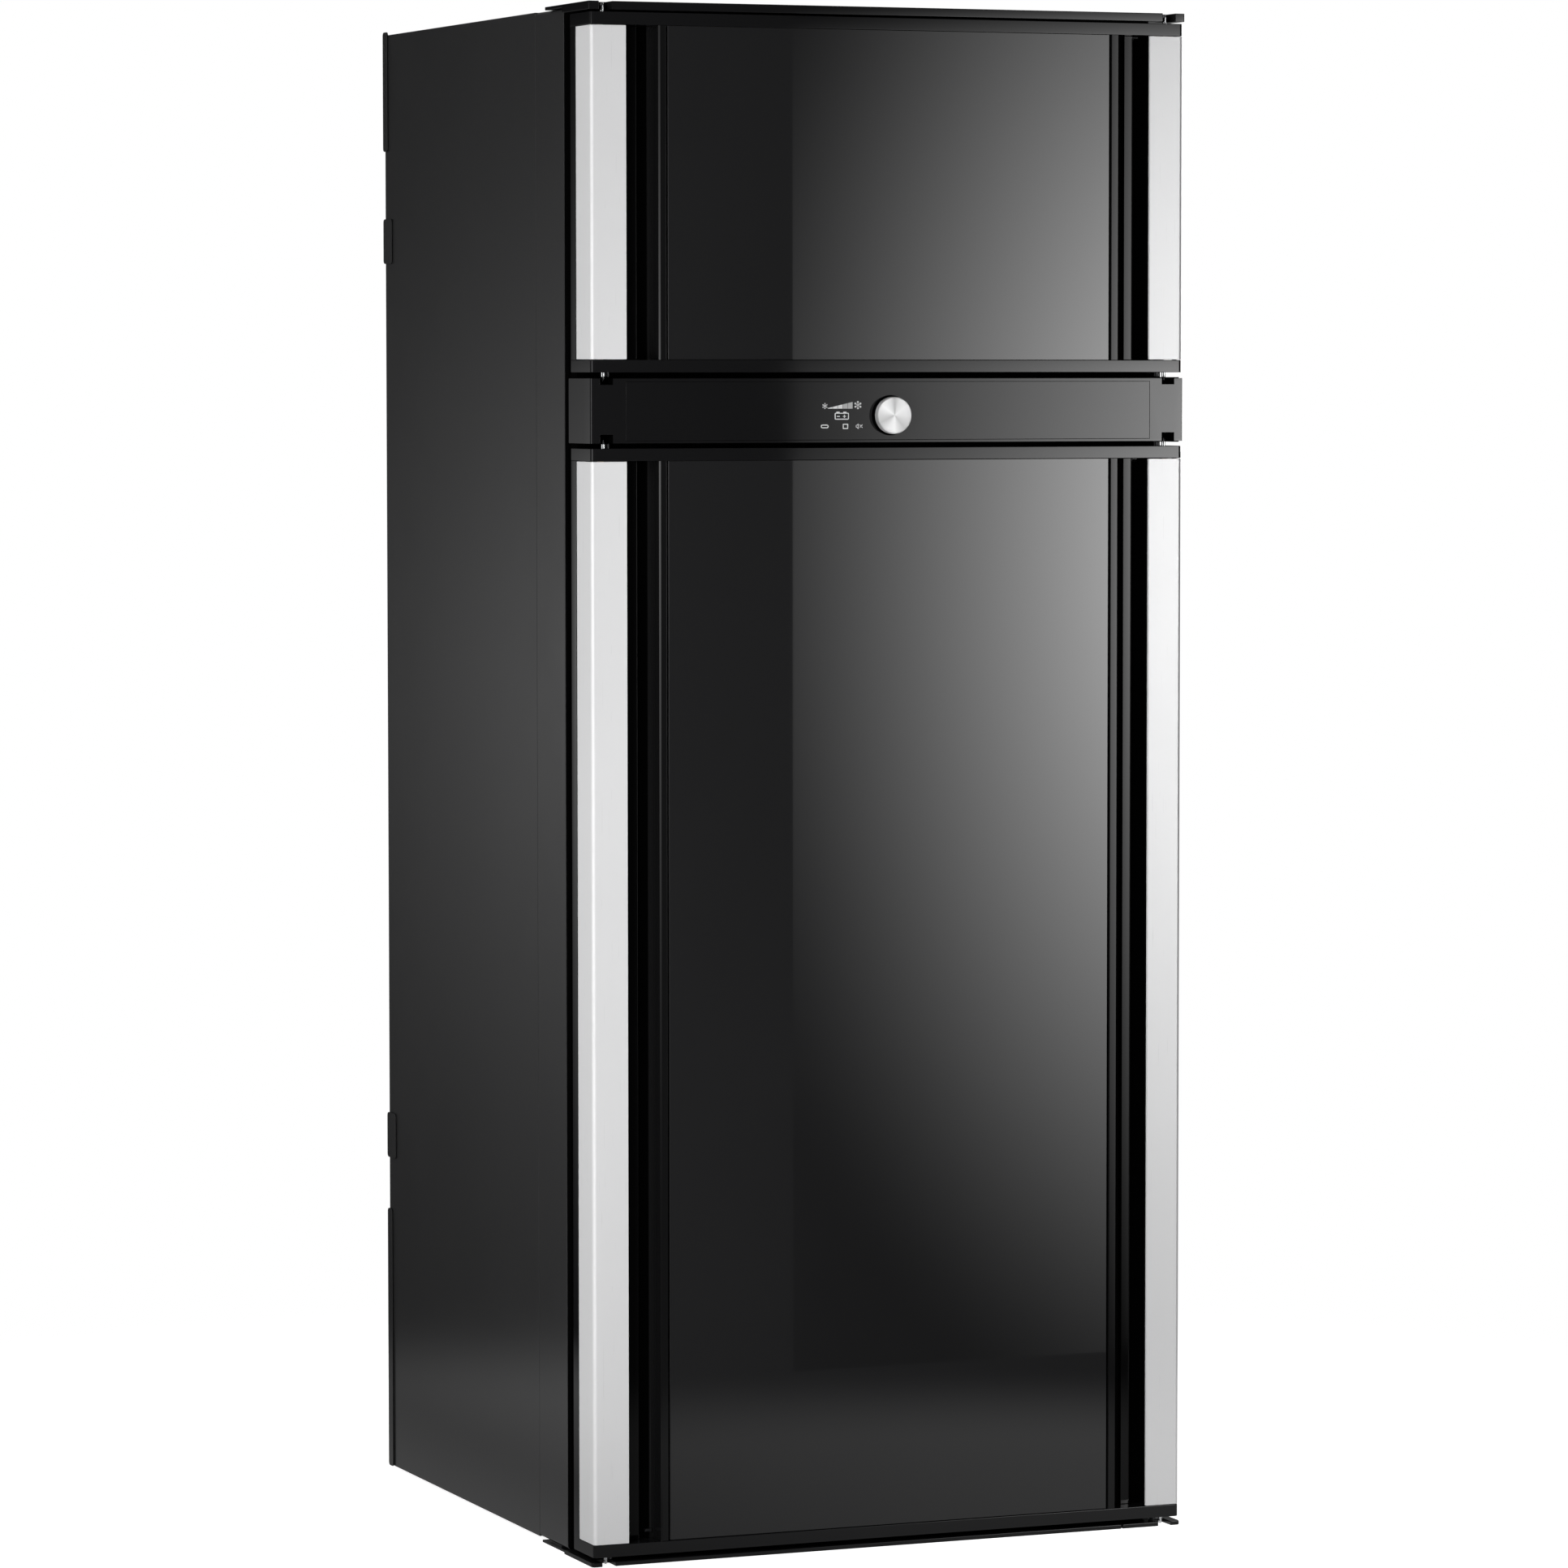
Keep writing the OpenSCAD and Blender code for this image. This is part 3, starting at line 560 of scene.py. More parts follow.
def soft_block(shape, x, depth, z, radius, steps=2, where=None):
    """Adds a block whose own edges are rounded."""
    part = bmesh.new()
    block(part, x, depth, z)
    rounded(part, radius, steps, where)
    face_out(part)
    joined(shape, part)


def split(shape, x, z):
    """Cuts the faces along planes across x and along others across z."""
    for place, axis in [(at(value, 0, 0), "x") for value in x] + [
            (at(0, 0, value), "z") for value in z]:
        bmesh.ops.bisect_plane(shape, geom=everything(shape), plane_co=place,
                               plane_no=AXES[axis], dist=1e-7)


def faces_where(shape, test):
    return [f for f in shape.faces if test(*millimetres(f.calc_center_bounds()))]


def opened(shape, test):
    """Takes away the faces picked by their middle's x, depth and z."""
    bmesh.ops.delete(shape, geom=faces_where(shape, test), context="FACES")


def walled(shape, wall, inside_out=False):
    """Gives an open skin a wall's thickness."""
    face_out(shape)
    if inside_out:
        bmesh.ops.reverse_faces(shape, faces=shape.faces[:])
    bmesh.ops.solidify(shape, geom=shape.faces[:], thickness=wall * MM)


def sink(shape, faces, depth):
    """Pushes faces back by a depth, which makes a pocket's walls."""
    grown = bmesh.ops.extrude_face_region(shape, geom=faces)["geom"]
    bmesh.ops.translate(shape, vec=AXES["depth"] * depth * MM, verts=only(VERT, grown))
    bmesh.ops.delete(shape, geom=faces, context="FACES_ONLY")


def mirrored(shape):
    """Adds the same shape on the other side."""
    copy = bmesh.ops.duplicate(shape, geom=everything(shape))["geom"]
    bmesh.ops.scale(shape, vec=(-1, 1, 1), verts=only(VERT, copy))
    bmesh.ops.reverse_faces(shape, faces=only(FACE, copy))


def carved(shape, cutter):
    """Takes one closed shape out of another."""
    parts = []
    for part in (shape, cutter):
        face_out(part)
        mesh = bpy.data.meshes.new("part")
        part.to_mesh(mesh)
        part.free()
        parts.append(bpy.data.objects.new("part", mesh))
        SCENE.collection.objects.link(parts[-1])
    cut = parts[0].modifiers.new("cut", "BOOLEAN")
    cut.object, cut.operation, cut.solver = parts[1], "DIFFERENCE", "EXACT"
    whole = parts[0].evaluated_get(bpy.context.evaluated_depsgraph_get())
    result = bmesh.new()
    result.from_mesh(whole.to_mesh())
    whole.to_mesh_clear()
    for part in parts:
        mesh = part.data
        bpy.data.objects.remove(part)
        bpy.data.meshes.remove(mesh)
    return result


def joined(shape, other):
    """Puts another shape's faces into the shape."""
    mesh = bpy.data.meshes.new("part")
    other.to_mesh(mesh)
    other.free()
    shape.from_mesh(mesh)
    bpy.data.meshes.remove(mesh)


def finished(name, shape, paint, *replaced, body="cabinet", outward=True):
    """Makes the shape a piece that rides on a body and may stand for nodes."""
    if outward:
        face_out(shape)
    mesh = bpy.data.meshes.new(name)
    shape.to_mesh(mesh)
    shape.free()
    mesh.shade_smooth()
    mesh.set_sharp_from_angle(angle=math.radians(CREASE))
    mesh.materials.append(PAINTS[paint].material)
    piece = bpy.data.objects.new(name, mesh)
    SCENE.collection.objects.link(piece)
    even = piece.modifiers.new("even_normals", "WEIGHTED_NORMAL")
    even.keep_sharp = True
    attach(piece, body)
    if replaced:
        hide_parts(*replaced)
    return piece


def painted_shade_where(piece, test):
    """Paints shade on the faces picked by their middle's x, depth and z, in a dull black.
    """
    piece.data.materials.append(PAINTS["painted_shade_black"].material)
    for face in piece.data.polygons:
        face.material_index = int(test(*millimetres(face.center)))


# ---------- doors ----------

HANDLE_WALL = 2.2
TILT_AXIS = (253.5, 5.5)     # upright axis that a handle tilts on: x and depth
CORNER = 3.2                 # rounding of the upright edges of the doors and handles
CAP = 10                     # height of the cap across each end of a door
RECESS_FLOOR = 20.5          # depth of the finger recess
RIM = 200.3                  # where the rim beside the front panel ends


def make_handle(kind, side):
    """Angle extrusion over a door's corner, with a black plug in each end."""
    node = f"{kind}_{side}_handle"
    sign = 1 if side == "right" else -1
    x, (_, back), _ = reach(node)
    inner, outer = sorted(abs(value) for value in x)
    inside = outer - HANDLE_WALL
    low, high = reach(f"{kind}_door_frame")[2]
    ends = ((low + CAP + 0.4, 1), (high - CAP - 0.4, -1))
    outline = ([(inner, HANDLE_WALL), (inner, 0)]
               + arc((outer - CORNER, CORNER), CORNER, -90, 0)
               + [(outer, back), (inside, back), (inside, HANDLE_WALL)])
    shape = bmesh.new()
    prism(shape, [(sign * x, d) for x, d in outline], [end for end, _ in ends])
    rounded(shape, 0.45, where=lambda x, d, z, run: d < 1.2 and run == "z"
            and abs(x) < inner + 1)
    rounded(shape, 0.25, 1, sharper=50)
    finished(f"{node}_extrusion", shape, "satin_aluminium", node, body=node)

    shape = bmesh.new()
    for end, way in ends:
        block(shape, mirror_span(sign, 249.5, inside - 0.1), (HANDLE_WALL + 0.1, 12),
              sorted((end + way * 0.2, end + way * 10)))
    rounded(shape, 0.5)
    for end, way in ends:
        turned(shape, [(-6 * way, 0), (-6 * way, 1.6), (-5.6 * way, 2), (2 * way, 2),
                       (2 * way, 0)], at(sign * TILT_AXIS[0], TILT_AXIS[1], end), "z", 24)
    finished(f"{node}_plugs", shape, "black_plastic", body=node)


def make_door_frame(kind):
    """The cap across each end of a door and the bar behind each handle."""
    node = f"{kind}_door_frame"
    (_, half), (front, back), (low, high) = reach(node)
    plan = ([(-half, back)] + arc((CORNER - half, front + CORNER), CORNER, 180, 270)
            + arc((half - CORNER, front + CORNER), CORNER, 270, 360) + [(half, back)])
    shape = bmesh.new()
    for bottom in (low, high - CAP):
        prism(shape, plan, (bottom, bottom + CAP))
    for sign in (-1, 1):
        block(shape, mirror_span(sign, 246, half), (34.8, back),
              (low + CAP - 0.2, high - CAP + 0.2))
    rounded(shape, 0.5)
    finished(f"{kind}_door_moulding", shape, "black_plastic", node, body=f"{kind}_door")


def make_front_panel(kind):
    """The glossy panel: sharper edges under a cap than beside the rims and at the foot."""
    node = f"{kind}_front_panel"
    above_foot = 100
    shape = bmesh.new()
    block(shape, *reach(node))
    rounded(shape, 0.7, 3, lambda x, d, z, run: run == "z" or z < above_foot)
    rounded(shape, 0.15, 1, lambda x, d, z, run: run == "x" and d < 2 and z > above_foot)
    finished(f"{kind}_gloss_panel", shape, "gloss_black", node, body=f"{kind}_door")


def make_channels(kind):
    """The moulded finger recess beside each handle, with its rim, ledge and rib. A
    tongue reaches behind the front panel, so that its seam doesn't show the core.
    Recess, rib and floor are darker copies of black plastic: painted shade."""
    node = f"{kind}_recess_profiles"
    (_, outer), _, z = reach(node)
    inner, wall = 194.1, outer - 1.5
    face, ledge, back = 0.6, 2.7, 22.5
    shape = bmesh.new()
    prism(shape, [(inner, back), (inner, face), (RIM, face), (RIM, RECESS_FLOOR),
                  (wall, RECESS_FLOOR), (wall, ledge), (outer, ledge), (outer, back)], z)
    rounded(shape, 0.3, 2, lambda x, d, z, run: d < 3 and run == "z" and x < RIM - 3)
    rounded(shape, 0.6, 3, lambda x, d, z, run: d < 3 and run == "z" and x > RIM + 3)
    rounded(shape, 4, 6, lambda x, d, z, run: run == "z" and 18 < d < 22
            and abs(x - RIM) < 1)
    mirrored(shape)
    for side, bevel in ((-RIM, 1.2), (RIM, 0.4)):
        rounded(shape, bevel, 1, lambda x, d, z, run: run == "z" and d < 1
                and abs(x - side) < 0.1)
    ribs = bmesh.new()
    rib_depth = (17.3, RECESS_FLOOR + 0.4)
    for sign in (-1, 1):
        rib = bmesh.new()
        block(rib, mirror_span(sign, 213.1, 221), rib_depth, (z[0] + 0.1, z[1] - 0.1))
        block(rib, mirror_span(sign, 220, 225.5), rib_depth, (z[1] - 3, z[1] - 0.1))
        rounded(rib, 0.3, where=lambda x, d, z, run: d < RECESS_FLOOR)
        joined(ribs, rib)
        block(shape, mirror_span(sign, inner - 4.1, inner + 0.1), (4.2, 5.1), z)
    finished(f"{kind}_finger_ribs", ribs, "rib_painted_shade", body=f"{kind}_door")
    channels = finished(f"{kind}_finger_channels", shape, "recess_painted_shade", node,
                        body=f"{kind}_door")
    # painted shade on the recess floor
    painted_shade_where(channels, lambda x, d, z: d > RECESS_FLOOR - 0.1 and RIM < abs(x) < outer)


def make_drip_lip():
    """Small lip low in the left recess of the lower door."""
    shape = bmesh.new()
    block(shape, (-207.8, -202.2), (17.3, 20.6), (22.7, 25))
    rounded(shape, 0.4)
    finished("recess_lip", shape, "black_steel", body="fridge_door")


for kind in DOORS:
    make_door_frame(kind)
    make_front_panel(kind)
    make_channels(kind)
    for side in ("left", "right"):
        make_handle(kind, side)
make_drip_lip()


# ---------- rail, strips and cabinet front ----------

NOTCH = (239.7, 250.8)       # the slots that the corner pins swing into
NOTCH_DEPTH = 16
SEAM = 0.18                  # round the fascia
RISERS = (892.71, 952.79)    # how far the rail's dark risers close the gaps beside it
SCREWS = (198, 622.7, 1047.4)          # heights of the side screws
SCREW_DEPTH = 89


def notched(half, low, high, bites):
    """An outline with a bite from each end of its two long edges."""
    near, far = NOTCH
    edges = []
    for level, deep in ((low, low + bites[0]), (high, high - bites[1])):
        left = [(-half, level), (-far, level), (-far, deep), (-near, deep),
                (-near, level)]
        edges.append(left + [(-x, z) for x, z in reversed(left)])
    return edges[0] + edges[1][::-1]


def make_rail():
    """The rail between the doors: a notched front, a plain bar behind it and the dark
    risers in the gaps, with a pocket for the fascia. Its faces behind the front are
    painted shade."""
    (_, half), _, z = reach("middle_rail")
    (left, right), _, (low, high) = reach("control_fascia")
    pocket, bar_back, tongue_back, lip, riser = 2.7, 50.5, 62, 0.8, 5
    shape = bmesh.new()
    prism(shape, notched(half, *z, (7, 5)), (0, NOTCH_DEPTH), "depth")
    split(shape, (left - SEAM, right + SEAM), (low - SEAM, high + SEAM))
    sink(shape, faces_where(shape, lambda x, d, z: d < 0.1 and abs(x) < right
                            and low < z < high), pocket)
    rounded(shape, 2.2, 5, lambda x, d, z, run: run == "z" and x < 0.1 - half
            and d < 1)
    rounded(shape, 1, 4, lambda x, d, z, run: run == "z" and x > half - 0.1 and d < 1)
    rounded(shape, 0.4, where=lambda x, d, z, run: d < 0.1 or (
        run == "depth" and abs(x) < NOTCH[1] + 1))
    block(shape, (-half, half), (NOTCH_DEPTH - 0.01, bar_back), z)
    block(shape, (-245, 245), (bar_back - 0.5, tongue_back), (z[0] + 6, z[1] - 6))
    for span in ((RISERS[0], RISERS[0] + riser), (RISERS[1] - riser, RISERS[1])):
        block(shape, (2.5 - half, half - 2.5), (38, bar_back - 0.1), span)
    lips = (z[0] - lip, z[1] + lip)
    block(shape, (1 - half, half - 1), (NOTCH_DEPTH + 1, bar_back - 0.2), lips)
    for sign in (-1, 1):
        block(shape, mirror_span(sign, NOTCH[1] + 0.7, half - 2.5), (2, NOTCH_DEPTH + 2),
              lips)
    rail = finished("rail_moulding", shape, "black_plastic", "middle_rail")
    # painted shade on every face behind the rail's front, risers included
    painted_shade_where(rail, lambda x, d, z: d > 1.9 and abs(x) < half - 0.9)

    shape = bmesh.new()
    block(shape, *reach("control_fascia"))
    rounded(shape, 0.12, 1)
    finished("rail_fascia", shape, "black_plastic", "control_fascia")


def make_strip(node, name, z, corner, back, tongue, slit=()):
    """A hinge strip: a notched bar in front of a thinner tongue, maybe with a slit."""
    half = reach(node)[0][1]
    near, far = NOTCH
    left = ([(-half, back)] + arc((corner - half, corner), corner, 180, 270)
            + [(-far, 0), (-far, NOTCH_DEPTH), (-near, NOTCH_DEPTH), (-near, 0)])
    right = [(-x, d) for x, d in reversed(left)]
    shape = bmesh.new()
    prism(shape, [*left, *slit, *right], z)
    block(shape, *tongue)
    rounded(shape, 0.45)
    finished(name, shape, "black_plastic", node)


def make_front_frame():
    """The plastic frame round both openings: a thin shell with rounded front edges. Its
    front faces are in painted shadow from the doors.
    """
    (_, half), depth, z = reach("front_frame")
    gaps = [reach(f"{kind}_liner") for kind in DOORS]
    side, heights = gaps[0][0][1], [gap[2] for gap in gaps]
    shape = bmesh.new()
    block(shape, (-half, half), depth, z)
    split(shape, (-side, side), [level for span in heights for level in span])
    opened(shape, lambda x, d, z: d > depth[1] - 0.1 or (
        d < depth[0] + 0.1 and abs(x) < side
        and any(low < z < high for low, high in heights)))
    rounded(shape, 3, 4)
    walled(shape, 2.6)
    cutter = bmesh.new()
    for sign in (-1, 1):
        for height in SCREWS:
            turned(cutter, [(-1.7, 0), (-1.7, 12.5), (1, 12.5), (1, 0)],
                   at(sign * half, SCREW_DEPTH, height), "x", 64)
    for vert in cutter.verts:                # the left recesses face the other way
        if vert.co.x < 0:
            vert.co.x = -2 * half * MM - vert.co.x
    moulding = finished("front_frame_moulding", carved(shape, cutter), "satin_plastic",
                        "front_frame", outward=False)
    # painted shadow: the front faces, which the doors shade, in dull black
    painted_shade_where(moulding, lambda x, d, z: d < depth[0] + 1.9)


def make_screw_caps():
    """Flanged sleeves for the side screws, each closed outside by a thin disc. The rear
    half of the groove round each disc is painted shade.
    """
    half = reach("side_screw_bushings")[0][1]
    inner = reach("fridge_liner")[0][1] - 2.1
    section = [(half, 0), (half, 10.3), (half - 0.3, 10.6), (half - 0.3, 11.2),
               (half, 11.5), (half, 11.9), (half - 0.3, 12.2), (half - 1.5, 12.2),
               (half - 1.5, 7), (inner, 7), (inner, 10), (inner - 1.2, 10),
               (inner - 1.5, 9.7), (inner - 1.5, 2.9), (inner - 1.1, 2.5),
               (half - 1.8, 2.5), (half - 1.8, 0)]
    shape = bmesh.new()
    for height in SCREWS:
        turned(shape, section, at(0, SCREW_DEPTH, height), "x", 48)
    mirrored(shape)
    sleeves = finished("screw_sleeves", shape, "satin_plastic", "side_screw_bushings")
    # painted shade on the rear half of each disc's groove and rim
    painted_shade_where(sleeves, lambda x, d, z: half - 0.4 < abs(x) < half - 0.1
               and d > SCREW_DEPTH + 1)


make_rail()
WIDTH, _, (_, TOP) = reach("top_hinge_strip")
make_strip("top_hinge_strip", "top_strip", (TOP - 6.7, TOP), 1.2, 61.7,
           (WIDTH, (61.2, 101), (TOP - 2.7, TOP)))
make_strip("bottom_hinge_strip", "bottom_strip", (0, 3.4), 3, 66,
           ((-246, 246), (60, 125), (0, 3.6)),
           [(206, 0), (206, 12), (207.2, 12), (207.2, 0)])
make_front_frame()
make_screw_caps()


# ---------- knob and printed signs ----------

PRINT = (-0.07, 0.08)        # the printed signs stand just proud of the fascia


def make_knob():
    """The knob's spun metal cap, the collar behind it, a painted-shade ring round it."""
    x, (front, back), z = reach("control_knob")
    radius, back = (x[1] - x[0]) / 2, back - front
    centre = at(sum(x) / 2, front, sum(z) / 2)
    shape = bmesh.new()
    turned(shape, [(0.12, 0), (0.12, radius - 1.3), (0, radius - 1.1), (0, radius - 0.6),
                   (0.2, radius - 0.2), (0.6, radius), (5.5, radius),
                   (5.5, radius - 1.2), (5.5, 0)], centre, steps=96)
    finished("knob_metal", shape, "spun_metal_painted_sheen", "control_knob", body="knob")
    shape = bmesh.new()
    turned(shape, [(5.45, radius - 0.3), (6.9, radius - 0.3), (back, radius - 0.8),
                   (back, 3.1), (5.45, 3.1)], centre, steps=64, closed=True)
    finished("knob_collar", shape, "black_plastic", body="knob")
    # painted shade: a dull black ring on the fascia round the knob, where the knob shades
    # it
    shape = bmesh.new()
    turned(shape, [(8.5, 4), (8.5, 15.9), (8.7, 16.2), (9.2, 16.2), (9.2, 4)], centre,
           steps=64, closed=True)
    finished("knob_shade_ring", shape, "painted_shade_black")


def printed(shape, outline):
    """Adds a flat printed patch."""
    prism(shape, outline, PRINT, "depth")


def outline_ring(shape, outer, inner):
    """Adds a flat printed ring between two outlines with as many points each."""
    low, high = PRINT
    looped(shape, [[at(x, depth, z) for x, z in outline] for outline, depth in (
        (outer, low), (inner, low), (inner, high), (outer, high))])


def line_box(shape, x, z, line, radius):
    """Adds the printed outline of a box with round corners."""
    inner = rounded_box((x[0] + line, x[1] - line), (z[0] + line, z[1] - line),
                        max(radius - line, 0.1))
    outline_ring(shape, rounded_box(x, z, radius), inner)


def stroke(shape, start, end, width):
    """Adds a straight printed line."""
    start, end = Vector(start), Vector(end)
    way = (end - start).normalized() * width / 2
    side = Vector((-way.y, way.x))
    printed(shape, [tuple(p) for p in (start - side, end - side, end + side,
                                       start + side)])


def flake(shape, centre, length, width, tip):
    """Adds a six-armed frost sign with a dot at each tip."""
    for end in arc(centre, length, 30, 330, 5):
        stroke(shape, centre, end, width)
        printed(shape, arc(end, tip, 0, 324, 9))


def make_signs():
    """Frost level, battery and status signs, without any lettering."""
    foot, low, rise = 923.8, 0.5, 4.9        # of the sloping row of level marks
    start, end = -56.0, -34.2
    step = (end - start) / 5
    for name, paint, steps in (("level_marks", "white_print", (0, 1, 2)),
                               ("level_marks_dim", "grey_print", (3, 4))):
        shape = bmesh.new()
        for k in steps:
            x0, x1 = start + k * step, start + (k + 1) * step - 0.3
            tops = [foot + low + rise * (x - start) / (end - start) for x in (x0, x1)]
            printed(shape, [(x0, foot), (x1, foot), (x1, tops[1]), (x0, tops[0])])
        finished(name, shape, paint)
    shape = bmesh.new()
    flake(shape, (-58.5, 925.9), 1.9, 0.5, 0.5)
    flake(shape, (-29.9, 926.6), 2.5, 0.6, 0.85)
    line_box(shape, (-50.0, -37.7), (915.0, 920.5), 0.75, 0.9)         # battery
    for left in (-48.6, -42.6):
        right = left + 2.8
        printed(shape, [(left, 920.4), (right, 920.4), (right, 921.4), (left, 921.4)])
    stroke(shape, (-48.2, 917.6), (-45.6, 917.6), 0.7)
    stroke(shape, (-42.9, 917.6), (-40.3, 917.6), 0.7)
    stroke(shape, (-41.6, 916.3), (-41.6, 918.9), 0.7)
    line_box(shape, (-62.1, -55.3), (908.1, 911.1), 0.8, 1.45)
    line_box(shape, (-43.0, -38.4), (907.5, 911.7), 0.75, 0.5)
    outline_ring(shape, [(-31.7, 909.0), (-29.3, 907.4), (-29.3, 911.8), (-31.7, 910.4)],
                 [(-31.1, 909.3), (-29.9, 908.5), (-29.9, 910.8), (-31.1, 910.1)])
    for way in (-1, 1):
        stroke(shape, (-28.4, 909.7 - 1.2 * way), (-26.0, 909.7 + 1.2 * way), 0.6)
    finished("printed_signs", shape, "white_print")


make_knob()
make_signs()


# ---------- cabinet edges, feet and clips ----------

(_, SIDE), (SHEET_FRONT, REAR), _ = reach("outer_wrapper")


def make_clips():
    """Angles over the rear edges, the fold at the seam, floor clips and rear feet."""
    shape = bmesh.new()
    end = REAR + 2.4
    for z, leg in (((1142.6, 1244.7), 11.7), ((1046.5, 1084.8), 22),
                   ((273.3, 312.3), 22), ((3.1, 228.6), 11.7)):
        prism(shape, rounded_box((end - leg, end), z, 3), (SIDE + 0.1, SIDE + 1.4), "x")
        block(shape, (SIDE - 16, SIDE + 0.2), (REAR + 0.2, end), (z[0] + 3, z[1] - 3))
    rounded(shape, 0.3, sharper=60)
    mirrored(shape)
    angles = finished("rear_edge_angles", shape, "satin_plastic", "rear_edge_clips")
    # painted shade: a dull black line on the edge faces of each side plate, ahead of the
    # rear
    painted_shade_where(angles, lambda x, d, z: SIDE + 0.3 < abs(x) < SIDE + 1.2 and d < REAR)

    shape = bmesh.new()
    block(shape, (SIDE - 0.9, SIDE + 0.06), (SHEET_FRONT - 0.1, SHEET_FRONT + 1.4),
          (5, 1241))
    rounded(shape, 0.45, 3, lambda x, d, z, run: run == "z")
    mirrored(shape)
    finished("wrapper_folds", shape, "steel_sheet")

    shape = bmesh.new()
    block(shape, (247, SIDE + 0.4), (72, 123), (0.2, 2.2))
    block(shape, (247, SIDE - 2), (84, 108), (2.1, 3.6))
    rounded(shape, 0.35)
    mirrored(shape)
    finished("floor_locks", shape, "black_plastic", "floor_clips")

    shape = bmesh.new()
    for depth, high in ((230, 3.7), (372, 4.7), (525, 4.7)):
        turned(shape, [(0.4, 0), (0.4, 9), (0, 9.6), (0, 13.2), (0.6, 14), (high, 13),
                       (high, 0)], at(205, depth, 0), "z", 40)
    mirrored(shape)
    finished("rubber_feet", shape, "foot_rubber", "rear_feet")


make_clips()


# ---------- inside of the cabinet ----------

LINER = 2                    # the liners' skins lie this far inside their nodes' boxes
MOUTH = 62.3                 # depth of the liners' front edges
SHELVES = (265, 405, 560, 715)         # undersides of the glass shelves
SHELF_HALF = 219.5
STEP = (317, 265)            # over the machine compartment: its front and its top


def make_liner(kind, profile, radius, ledges=(), ledge_depth=None):
    """A moulded liner: a box open to the front with rounded inside corners."""
    node = f"{kind}_liner"
    half = reach(node)[0][1] - LINER
    shape = bmesh.new()
    prism(shape, profile, (-half, half), "x")
    opened(shape, lambda x, d, z: d < MOUTH + 0.01)
    rounded(shape, radius, 5)
    walled(shape, 1.9, inside_out=True)
    for level in ledges:
        for sign in (-1, 1):
            soft_block(shape, mirror_span(sign, half - 9, half + 0.5), ledge_depth,
                       (level - 5, level), 1.5, 3, lambda x, d, z, run: abs(x) < half)
    finished(f"{kind}_liner_moulding", shape, "white_plastic", node, outward=False)


def make_liners():
    back = reach("freezer_liner")[1][1] - LINER
    low, high = reach("freezer_liner")[2]
    low, high = low + LINER, high - LINER
    make_liner("freezer", [(MOUTH, low), (back, low), (back, high), (MOUTH, high)], 5,
               [1088], (92, 408))
    low, high = reach("fridge_liner")[2]
    low, high = low + LINER, high - LINER
    make_liner("fridge", [(MOUTH, low), (STEP[0], low), STEP, (back, STEP[1]),
                          (back, high), (MOUTH, high)], 9, SHELVES[1:], (158.5, 300))


def make_shelves():
    """Glass plates with a trim along their front and back edges."""
    glass, trims = bmesh.new(), bmesh.new()
    span = (-SHELF_HALF, SHELF_HALF)
    for bottom in SHELVES:
        back = 412 if bottom == SHELVES[0] else 395
        block(glass, span, (158, back), (bottom + 0.1, bottom + 4))
        prism(trims, [(150, bottom - 5), (152.5, bottom - 8), (158, bottom - 8),
                      (158, bottom + 5), (152.5, bottom + 5), (150, bottom + 2)],
              span, "x")
        prism(trims, [(back, bottom + 0.1), (back + 4, bottom + 0.1),
                      (back + 4, bottom + 16), (back + 2.4, bottom + 16),
                      (back + 2.4, bottom + 5), (back, bottom + 5)], span, "x")
    rounded(glass, 0.7)
    rounded(trims, 0.8)
    finished("shelf_glass_plates", glass, "shelf_glass", "glass_shelves")
    finished("shelf_edge_trims", trims, "silver_plastic", "shelf_trims")


def make_freezer_shelf():
    """Coated wire grid: long wires over three cross bars inside a rim."""
    (_, half), (front, back), z = reach("freezer_shelf")
    level, front, back, wire = sum(z) / 2, front + 2, back - 2, 1.4
    side = half - 2
    rim = [(0, front), (side, front), (side, back), (-side, back), (-side, front),
           (0, front)]
    shape = bmesh.new()
    tube(shape, [at(x, d, level) for x, d in rim], 1.9, 6)
    for depth in (150, 250, 350):
        tube(shape, [at(x, depth, level - 0.4) for x in (3 - half, half - 3)], wire)
    for x in range(-210, 211, 20):
        tube(shape, [at(x, front, level + 0.4), at(x, back, level + 0.4)], wire)
    finished("freezer_wire_shelf", shape, "white_plastic", "freezer_shelf")


def make_freezer_plate():
    """Roll-bond evaporator: a bent sheet with a raised channel winding over it."""
    (_, half), (front, back), (low, top) = reach("freezer_evaporator")
    floor, wall, ends = low + 1.6, back - 1.5, (-190, 190)
    shape = bmesh.new()
    prism(shape, [(front, low), (back, low), (back, top), (wall, top), (wall, floor),
                  (front, floor)], (-half, half), "x")
    rounded(shape, 0.5)
    tube(shape, winding(range(100, 400, 40), ends, lambda x, d: at(x, d, floor)), 2.6, 16)
    tube(shape, winding(range(1000, 1185, 35), ends, lambda x, z: at(x, wall, z)), 1.9,
         14)
    finished("freezer_cold_plate", shape, "evaporator_aluminium", "freezer_evaporator")


def make_lamp_cover():
    """Ribbed cover of the lamp, rounded below."""
    x, depth, (low, high) = reach("interior_lamp")
    shape = bmesh.new()
    block(shape, x, depth, (low, high))
    rounded(shape, 2.5, 4, lambda x, d, z, run: z < high - 0.5)
    for middle in range(-50, 51, 10):
        soft_block(shape, (middle - 1.2, middle + 1.2), (depth[0] + 3, depth[1] - 3),
                   (low - 0.25, low + 1), 0.2)
    finished("lamp_diffuser", shape, "lamp_diffuser", "interior_lamp")


